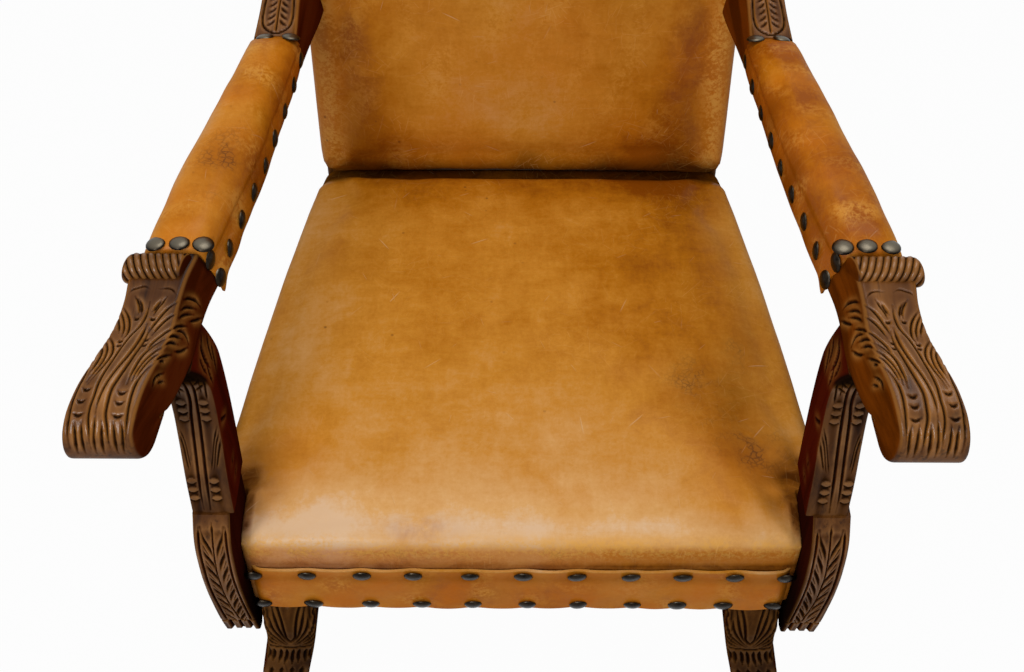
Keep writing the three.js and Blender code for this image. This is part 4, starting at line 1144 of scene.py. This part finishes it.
move_points(band, np.stack([x, -4.2 - lift + wrap + SEAT_FRONT, z], axis=1) * 0.001)
bpy.ops.object.mode_set(mode="EDIT")
bpy.ops.mesh.select_all(action="SELECT")
bpy.ops.mesh.normals_make_consistent(inside=False)
bpy.ops.object.mode_set(mode="OBJECT")
if band.data.polygons[0].normal.y > 0:
    band.data.flip_normals()
raw_edge = rising(up, 0.955, 0.04)
# The band darkens just under its lifted upper edge and where it wraps round the ends, painted shade, and is
# darker round the upper nails.
tint(
    band,
    tone=0.34 + 0.14 * ripple(x, z, 90, 15) + 0.3 * raw_edge,
    grime=(0.22 * hump(up, 0.8, 0.12) + 0.5 * rising(np.abs(x), 250, 12)
           + 0.35 * (upper_pin * hump(up, 0.8, 0.1))),
    rubbed=0.6 * np.clip(ripple(x, z, 45, 21), 0, 1),
    blush=(0.85 + 0.3 * ripple(x, z, 70, 22)) * (1 - raw_edge),
)
thicken(band)
fit(band, tan_hide, "tan_leather", "front_band")

# Back: a single hide over hair and webbing, drawn round the posts to their rear edge, with
# rounded lower corners and a tail behind the seat that closes the dark gap between them.
# Made lying flat like the seat, swelled, then stood up at the back's rake.
BACK_RAKE = math.radians(8.0)
BACK_SEAT = 513.0
BACK_FOOT = 455.0


def stood(h, d):
    """Depth from the seat's front and height from the floor of a point up and into the raked back."""
    return (BACK_SEAT + d * math.cos(BACK_RAKE) + h * math.sin(BACK_RAKE),
            BACK_FOOT - d * math.sin(BACK_RAKE) + h * math.cos(BACK_RAKE))


back_outline = []
for turn_x, turn_h, radius, start in (
    (220, 9, 18, -90), (221, 621, 18, 0), (-221, 621, 18, 90), (-220, 9, 18, 180),
):
    for angle in np.radians(start + np.linspace(0, 90, 6)):
        back_outline.append((turn_x + radius * math.cos(angle), turn_h + radius * math.sin(angle)))
low_edge = [(x, -9.0 + 4.0 * (1 - (x / 216)**2)) for x in np.linspace(-216, 216, 13)[1:-1]]
back_outline = back_outline + low_edge
bpy.ops.object.select_all(action="DESELECT")
bpy.ops.mesh.primitive_circle_add(vertices=len(back_outline), radius=1.0, fill_type="NGON")
back = bpy.context.object
move_points(back, np.array([(x, h, -70.0) for x, h in back_outline]) * 0.001)
bpy.ops.object.mode_set(mode="EDIT")
bpy.ops.mesh.select_all(action="SELECT")
bpy.ops.mesh.extrude_region_move(TRANSFORM_OT_translate={"value": (0.0, 0.0, 0.068)})
bpy.ops.mesh.region_to_loop()
bpy.ops.mesh.bevel(offset=0.015, segments=4, affect="EDGES")
bpy.ops.mesh.select_all(action="SELECT")
bpy.ops.mesh.normals_make_consistent(inside=False)
bpy.ops.object.mode_set(mode="OBJECT")
back = held_leather("back_hide", HIDE_VOXEL, lambda face: face.normal.z < -0.5)
rest = points(back)
rest[:, 2] += 0.006 * np.clip(1 - (rest[:, 0] / 0.235)**2, 0, 1) * np.clip(
    1 - ((rest[:, 1] - 0.32) / 0.32)**2, 0, 1) * rising(rest[:, 2], -0.02, 0.012)
move_points(back, rest)
swell(back, rest[:, 2] < -0.026, 4.0, 0.008)
refine(back)
at = points(back) * 1000.0
x, h, d = at[:, 0], at[:, 1], -at[:, 2]
tail = rising(d, 36, 14) * falling(h, 24, 20) * falling(np.abs(x), 214, 16)
h = h - 22.0 * tail
front = falling(d, 26, 16)
low_corner = patch(np.abs(x), 224, 22, h, 12, 26)
d = d - front * (1.1 * ripple(x, h, 130, 31) + 0.5 * ripple(x, h, 48, 32))
d = d + front * low_corner * 1.8 * np.sin(np.arctan2(h + 4, 240 - np.abs(x)) * 10.0)
d = d + front * hump(h, 6, 14) * np.sin(x / 8.5 + np.sin(x / 31.0))
# The back's tone holds painted light: painted shade low down next to the seat and in broad bands down each
# side, and painted light on a paler middle and on the outer edges.
BACK_TONE_AND_LIGHT = ((-20, 0.1), (20, 0.22), (60, 0.36), (110, 0.4), (160, 0.42), (210, 0.44),
             (400, 0.46), (700, 0.46))
tone = through(BACK_TONE_AND_LIGHT, h)[:, 0]
tone -= 0.26 * np.exp(-((np.abs(x) - 150 - 0.22 * h) / 36)**2) * np.clip((320 - h) / 120, 0.3, 1)
tone += 0.14 * patch(x, -15, 100, h, 90, 60) + 0.16 * rising(np.abs(x), 200, 20)
# Grime and painted shade: painted shade at the foot next to the seat, on the sides turning back and in the
# side bands low down.
grime = 1.2 * np.clip((24 + 8 * ripple(x, h, 70, 38) - h) / 30, 0, 1) + 0.15 * rising(d, 20, 14)
grime += 0.35 * hump(np.abs(x), 185, 30) * falling(h, 140, 80)
rubbed = hump(np.abs(x), 219, 12) + 0.35 * np.clip(ripple(x, h, 70, 35), 0, 1)
blush = 0.3 + 0.3 * ripple(x, h, 150, 36) + 0.6 * rising(np.abs(x), 195, 20)
tint(back, tone=tone, grime=grime, rubbed=rubbed, blush=blush, fret=0.4 + 0.4 * ripple(x, h, 90, 37))
stood_y, stood_z = stood(h, d)
move_points(back, np.stack([x, stood_y + SEAT_FRONT, stood_z], axis=1) * 0.001)
thicken(back)
tan_hide_upright = hide("tan_hide_upright", (math.radians(-90), 0.0, 0.0))
fit(back, tan_hide_upright, "tan_leather", "back_leather", "back_stuffing")

# Outside back: a plain hide panel nailed over the posts and rails behind, slightly sunk
# between them. Unseen in the photograph, so it is plain. A grid, eased and thickened.
panel = new_grid("outside_back_hide", 70, 90)
share = points(panel)
x = share[:, 0] * 2 * 233.0
h = 42.0 + (share[:, 1] + 0.5) * 593.0
sunk = np.clip(1 - (np.abs(x) / 200)**6, 0, 1) * np.clip(1 - (np.abs(h - 338) / 262)**8, 0, 1)
d = 72.8 - 2.2 * sunk + 0.6 * ripple(x, h, 110, 41) * sunk
tint(panel, tone=0.36 + 0.1 * ripple(x, h, 160, 42),
     grime=0.4 * hump(np.abs(x), 228, 10) + 0.5 * hump(h, 45, 30),
     rubbed=0.3 * np.clip(ripple(x, h, 80, 43), 0, 1))
stood_y, stood_z = stood(h, d)
move_points(panel, np.stack([x, stood_y + SEAT_FRONT, stood_z], axis=1) * 0.001)
if panel.data.polygons[0].normal.y < 0:
    panel.data.flip_normals()
thicken(panel, 0.0024)
fit(panel, tan_hide_upright, "tan_leather", "back_outside_leather")

# Arm pads: hide over hair on the bare arm core, drawn down both sides and nailed there, with a
# pointed flap at the front inner corner and a crease along each shoulder.
# A grid bent over the pad's sections, eased by soft waves, then thickened; mirrored for the left.
PAD_CROWN = ((122, 721), (136, 730), (182, 737), (260, 738.5), (350, 736.5), (411, 728), (425, 720))
PAD_ROWS = 130
PAD_COLUMNS = 84


def pad_point(y, share):
    """Point on the pad for a share from the inner lower edge (0) over the top to the outer (1)."""
    wide, shift, lean = through(PAD_WIDTHS, y).T
    half = (wide - lean) / 2
    crown = through(PAD_CROWN, y)[:, 0]
    centre = arm_middle(y) + shift + lean / 2
    drop = np.where(share < 0.5, 12.0 * hump(y, 122, 8.0), 0.0)
    low = 686.0 - drop
    side = 0.17
    wall = np.where(share < side, share / side, np.where(share > 1 - side, (1 - share) / side, 1.0))
    angle = math.pi * (1 - np.clip((share - side) / (1 - 2 * side), 0, 1))
    across = np.sign(np.cos(angle)) * np.abs(np.cos(angle))**0.75
    lift = np.clip(np.sin(angle), 0, 1)**0.85
    shoulder = 706.0
    z = np.where(wall < 1, low + (shoulder - low) * wall, shoulder + (crown - shoulder) * lift)
    belly = 1.6 * np.sin(math.pi * wall / 2) * np.sign(across)
    flare = np.where(share < side, lean * (1 - wall), 0.0)
    return np.stack([centre + half * across + belly - flare, y, z], axis=1)


for side_name, side in SIDES:
    pad = new_grid(f"arm_hide_{side_name}", PAD_COLUMNS, PAD_ROWS)
    share = points(pad)
    across = share[:, 0] + 0.5
    y = 122.5 + (share[:, 1] + 0.5) * 302.0
    at = pad_point(y, 1 - across)
    inside = pad_point(y, np.full_like(y, 0.5)) - np.array([0.0, 0.0, 24.0])
    away = at - inside
    away /= np.linalg.norm(away, axis=1, keepdims=True)
    seed = 51 if side < 0 else 61
    wave = 0.45 * ripple(y, across * 140, 110, seed) + 0.2 * ripple(y, across * 140, 30, seed + 1)
    wave -= 1.3 * hump(across, 0.2, 0.02) + 1.3 * hump(across, 0.8, 0.02)
    at += away * wave[:, None]
    inner = 1 - across
    tuck = 0.3 * falling(y, 125.5, 3.0) * rising(np.minimum(inner, across), 0.12, 0.1)
    at += (inside - at) * tuck[:, None]
    # Tone runs paler over the outer half, a painted sheen, and darker over the inner half, painted shade; the
    # right pad is darker all over. Grime and painted shade darken the inner lower edge and the rear end.
    tone = 0.4 + 0.13 * ripple(y, across * 120, 85, seed + 2) + 0.12 * falling(y, 150, 30)
    tone += 0.3 * rising(inner, 0.52, 0.2) - 0.2 * falling(inner, 0.36, 0.15)
    tone -= 0.28 if side > 0 else 0.05
    grime = 0.4 * falling(inner, 0.08, 0.08) + 0.3 * hump(y, 424, 10)
    rubbed = 0.6 * np.clip(ripple(y, across * 100, 40, seed + 3), 0, 1)
    scuff = np.zeros_like(y)
    if side < 0:
        scuff = patch(y, 226, 34, inner, 0.43, 0.1)
    tint(pad, tone=tone, grime=grime, rubbed=rubbed, scuff=scuff,
         blush=0.4 + 0.3 * ripple(y, across * 90, 60, seed + 4),
         fret=0.3 + 0.3 * ripple(y, across * 90, 50, seed + 5))
    at[:, 1] += SEAT_FRONT
    at[:, 0] *= side
    move_points(pad, at * 0.001)
    if pad.data.polygons[(PAD_ROWS // 2) * PAD_COLUMNS + PAD_COLUMNS // 2].normal.z < 0:
        pad.data.flip_normals()
    thicken(pad)
    fit(pad, tan_hide, "tan_leather", f"arm_leather_{side_name}", f"arm_stuffing_{side_name}")

# Nails: domed upholstery nails of dark bronze, large along the front band and the arms and
# small round the back, each driven by hand so that none stands quite straight.
# One dome is shaped, then copied to every place of a row, and a row is one piece.
bpy.ops.object.select_all(action="DESELECT")
bpy.ops.mesh.primitive_uv_sphere_add(segments=18, ring_count=14, radius=1.0)
dome = bpy.context.object
dome.name = "nail_dome"
dome_at = points(dome)
dome.data.polygons.foreach_set("select", [False] * len(dome.data.polygons))
dome.data.edges.foreach_set("select", [False] * len(dome.data.edges))
dome.data.vertices.foreach_set("select", dome_at[:, 2] < -0.05)
bpy.ops.object.mode_set(mode="EDIT")
bpy.ops.mesh.delete(type="VERT")
bpy.ops.mesh.select_all(action="SELECT")
bpy.ops.mesh.fill_holes(sides=0)
bpy.ops.object.mode_set(mode="OBJECT")
dome_at = points(dome)
dome_at[:, 2] = np.clip(dome_at[:, 2], 0, 1)**1.1 * 0.4 - 0.05
move_points(dome, dome_at)
bpy.ops.object.shade_smooth_by_angle(angle=math.radians(50))

bronze, tree, bronze_shader = new_finish("nail_bronze", 0.3)
bronze_shader.inputs["Metallic"].default_value = 1.0
bronze_cloud = noise(tree, put(tree, "ShaderNodeTexCoord").outputs["Object"], 150.0, 4.0, 0.6)
bronze_tone = ramp(tree, bronze_cloud, ((0.3, (0.005, 0.004, 0.004)), (0.75, (0.032, 0.024, 0.016))))
# The heads turn paler towards their upward faces: partly rubbed wear, partly a painted reflection of the
# bright room above.
bronze_facing = put(tree, "ShaderNodeSeparateXYZ")
tree.links.new(put(tree, "ShaderNodeNewGeometry").outputs["Normal"], bronze_facing.inputs[0])
bronze_top_wear_and_sheen = spread(tree, bronze_facing.outputs["Z"], 0.72, 1.0, 0.0, 0.85)
tree.links.new(over(tree, bronze_top_wear_and_sheen, bronze_tone, (0.15, 0.128, 0.093)), bronze_shader.inputs["Base Color"])
tree.links.new(spread(tree, bronze_cloud, 0.0, 1.0, 0.2, 0.5), bronze_shader.inputs["Roughness"])


def drive_nails(name, places, radius, seed):
    """One piece of nails; each place is a point in millimetres and the way its head faces."""
    dice = np.random.default_rng(seed)
    heads = bmesh.new()
    shape = points(dome)
    for point, facing in places:
        facing = np.asarray(facing, float) + dice.uniform(-0.07, 0.07, 3)
        facing /= np.linalg.norm(facing)
        helper = np.array([1.0, 0.0, 0.0]) if abs(facing[0]) < 0.9 else np.array([0.0, 1.0, 0.0])
        first = np.cross(helper, facing)
        first /= np.linalg.norm(first)
        second = np.cross(facing, first)
        local = shape * radius * dice.uniform(0.95, 1.05)
        place = (np.asarray(point, float) + np.array([0.0, SEAT_FRONT, 0.0])
                 + local[:, :1] * first + local[:, 1:2] * second + local[:, 2:] * facing)
        nail = dome.data.copy()
        nail.vertices.foreach_set("co", np.ascontiguousarray(place * 0.001).reshape(-1))
        heads.from_mesh(nail)
        bpy.data.meshes.remove(nail)
    row_mesh = bpy.data.meshes.new(name)
    heads.to_mesh(row_mesh)
    heads.free()
    row = bpy.data.objects.new(name, row_mesh)
    scene.collection.objects.link(row)
    row_mesh.materials.append(bronze)
    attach(row, "root")


drive_nails("band_nails", [((x, -5.6, 404.0), (0, -1, -0.3)) for x in BAND_UPPER_NAILS]
            + [((x, -5.0, 350.5), (0, -1, -0.3)) for x in BAND_LOWER_NAILS], 9.3, 71)
PAD_NAILS = (418, 381, 341, 300, 262, 226, 190, 154)
for side_name, side in SIDES:
    places = []
    for y in PAD_NAILS:
        for inner in (0.085, 0.915):
            x, _, z = pad_point(np.array([float(y)]), np.array([inner]))[0]
            push = -1.0 if inner < 0.5 else 1.0
            places.append(((side * (x - push * 0.6), y, z), (side * push, 0, -0.05)))
    for share in (0.2, 0.06):
        x, _, z = pad_point(np.array([127.0]), np.array([share]))[0]
        places.append(((side * (x + 0.4), 127, z), (-side, -0.25, 0.1)))
    for offset in (20.0, -1.0, -21.5):
        at = (side * (arm_x(130) + offset), 130, 727.5 - 0.004 * offset**2)
        places.append((at, (side * offset * 0.006, 0.05, 1)))
    for offset in (9.0, -17.0):
        places.append(((side * (arm_x(420) + offset), 420, 723.5), (side * (offset + 4) * 0.012, 0.45, 1)))
    drive_nails(f"arm_nails_{side_name}", places, 9.2, 72)
back_places = []
for h in np.arange(16.0, 630.0, 27.5):
    for _, side in SIDES:
        back_places.append(((side * 237.6, *stood(h, 62.0)), (side, 0.0, 0.0)))
drive_nails("back_nails", back_places, 4.6, 73)
bpy.data.objects.remove(dome, do_unlink=True)

# Under the seat: jute webbing, canvas, coiled springs and a black lining, all plain and dusty.
# The CAD shapes stay; each gets its own woven or drawn finish.
weave, given, result = new_group(
    "weave", {"Thread": "Float", "Yarn": "Color", "Dust": "Color"}, {"Colour": "Color", "Height": "Float"})
tree = weave
place = put(tree, "ShaderNodeTexCoord").outputs["Object"]
lines = []
for axis in ("X", "Y"):
    line = put(tree, "ShaderNodeTexWave", Distortion=0.4, bands_direction=axis)
    tree.links.new(given.outputs["Thread"], line.inputs["Scale"])
    tree.links.new(place, line.inputs["Vector"])
    lines.append(line.outputs["Fac"])
crossing = times(tree, lines[0], lines[1])
dusty = put(tree, "ShaderNodeMix", data_type="RGBA")
tree.links.new(given.outputs["Yarn"], dusty.inputs["A"])
tree.links.new(given.outputs["Dust"], dusty.inputs["B"])
fluff = noise(tree, place, 18.0, 5.0)
tree.links.new(plus(tree, times(tree, crossing, 0.5), fluff), dusty.inputs["Factor"])
tree.links.new(dusty.outputs["Result"], result.inputs["Colour"])
tree.links.new(crossing, result.inputs["Height"])


def woven(name, yarn, dust, thread):
    finish, tree, shader = new_finish(name, 0.9)
    cloth = put(tree, "ShaderNodeGroup", node_tree=weave)
    cloth.inputs["Yarn"].default_value = (*yarn, 1.0)
    cloth.inputs["Dust"].default_value = (*dust, 1.0)
    cloth.inputs["Thread"].default_value = thread
    tree.links.new(cloth.outputs["Colour"], shader.inputs["Base Color"])
    bump = put(tree, "ShaderNodeBump", Strength=0.4, Distance=0.0008)
    tree.links.new(cloth.outputs["Height"], bump.inputs["Height"])
    tree.links.new(bump.outputs[0], shader.inputs["Normal"])
    return finish


jute_web = woven("jute_webbing", (0.2, 0.125, 0.05), (0.36, 0.26, 0.13), 120.0)
hair_felt = woven("hair_stuffing", (0.07, 0.045, 0.025), (0.16, 0.1, 0.06), 60.0)
black_cloth = woven("black_lining", (0.012, 0.011, 0.01), (0.04, 0.036, 0.032), 160.0)
spring, spring_tree, spring_shader = new_finish("spring_steel", 0.42)
spring_shader.inputs["Metallic"].default_value = 1.0
spring_rust = noise(spring_tree, put(spring_tree, "ShaderNodeTexCoord").outputs["Object"], 60.0, 6.0)
spring_tone = ramp(spring_tree, spring_rust, ((0.4, (0.3, 0.28, 0.26)), (0.66, (0.16, 0.08, 0.045))))
spring_tree.links.new(spring_tone, spring_shader.inputs["Base Color"])
for node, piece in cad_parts.items():
    finish = None
    if "strap" in node or node == "seat_canvas":
        finish = jute_web
    elif "stuffing" in node:
        finish = hair_felt
    elif "spring" in node:
        finish = spring
    elif node == "seat_lining":
        finish = black_cloth
    if finish is not None:
        piece.data.materials.clear()
        piece.data.materials.append(finish)
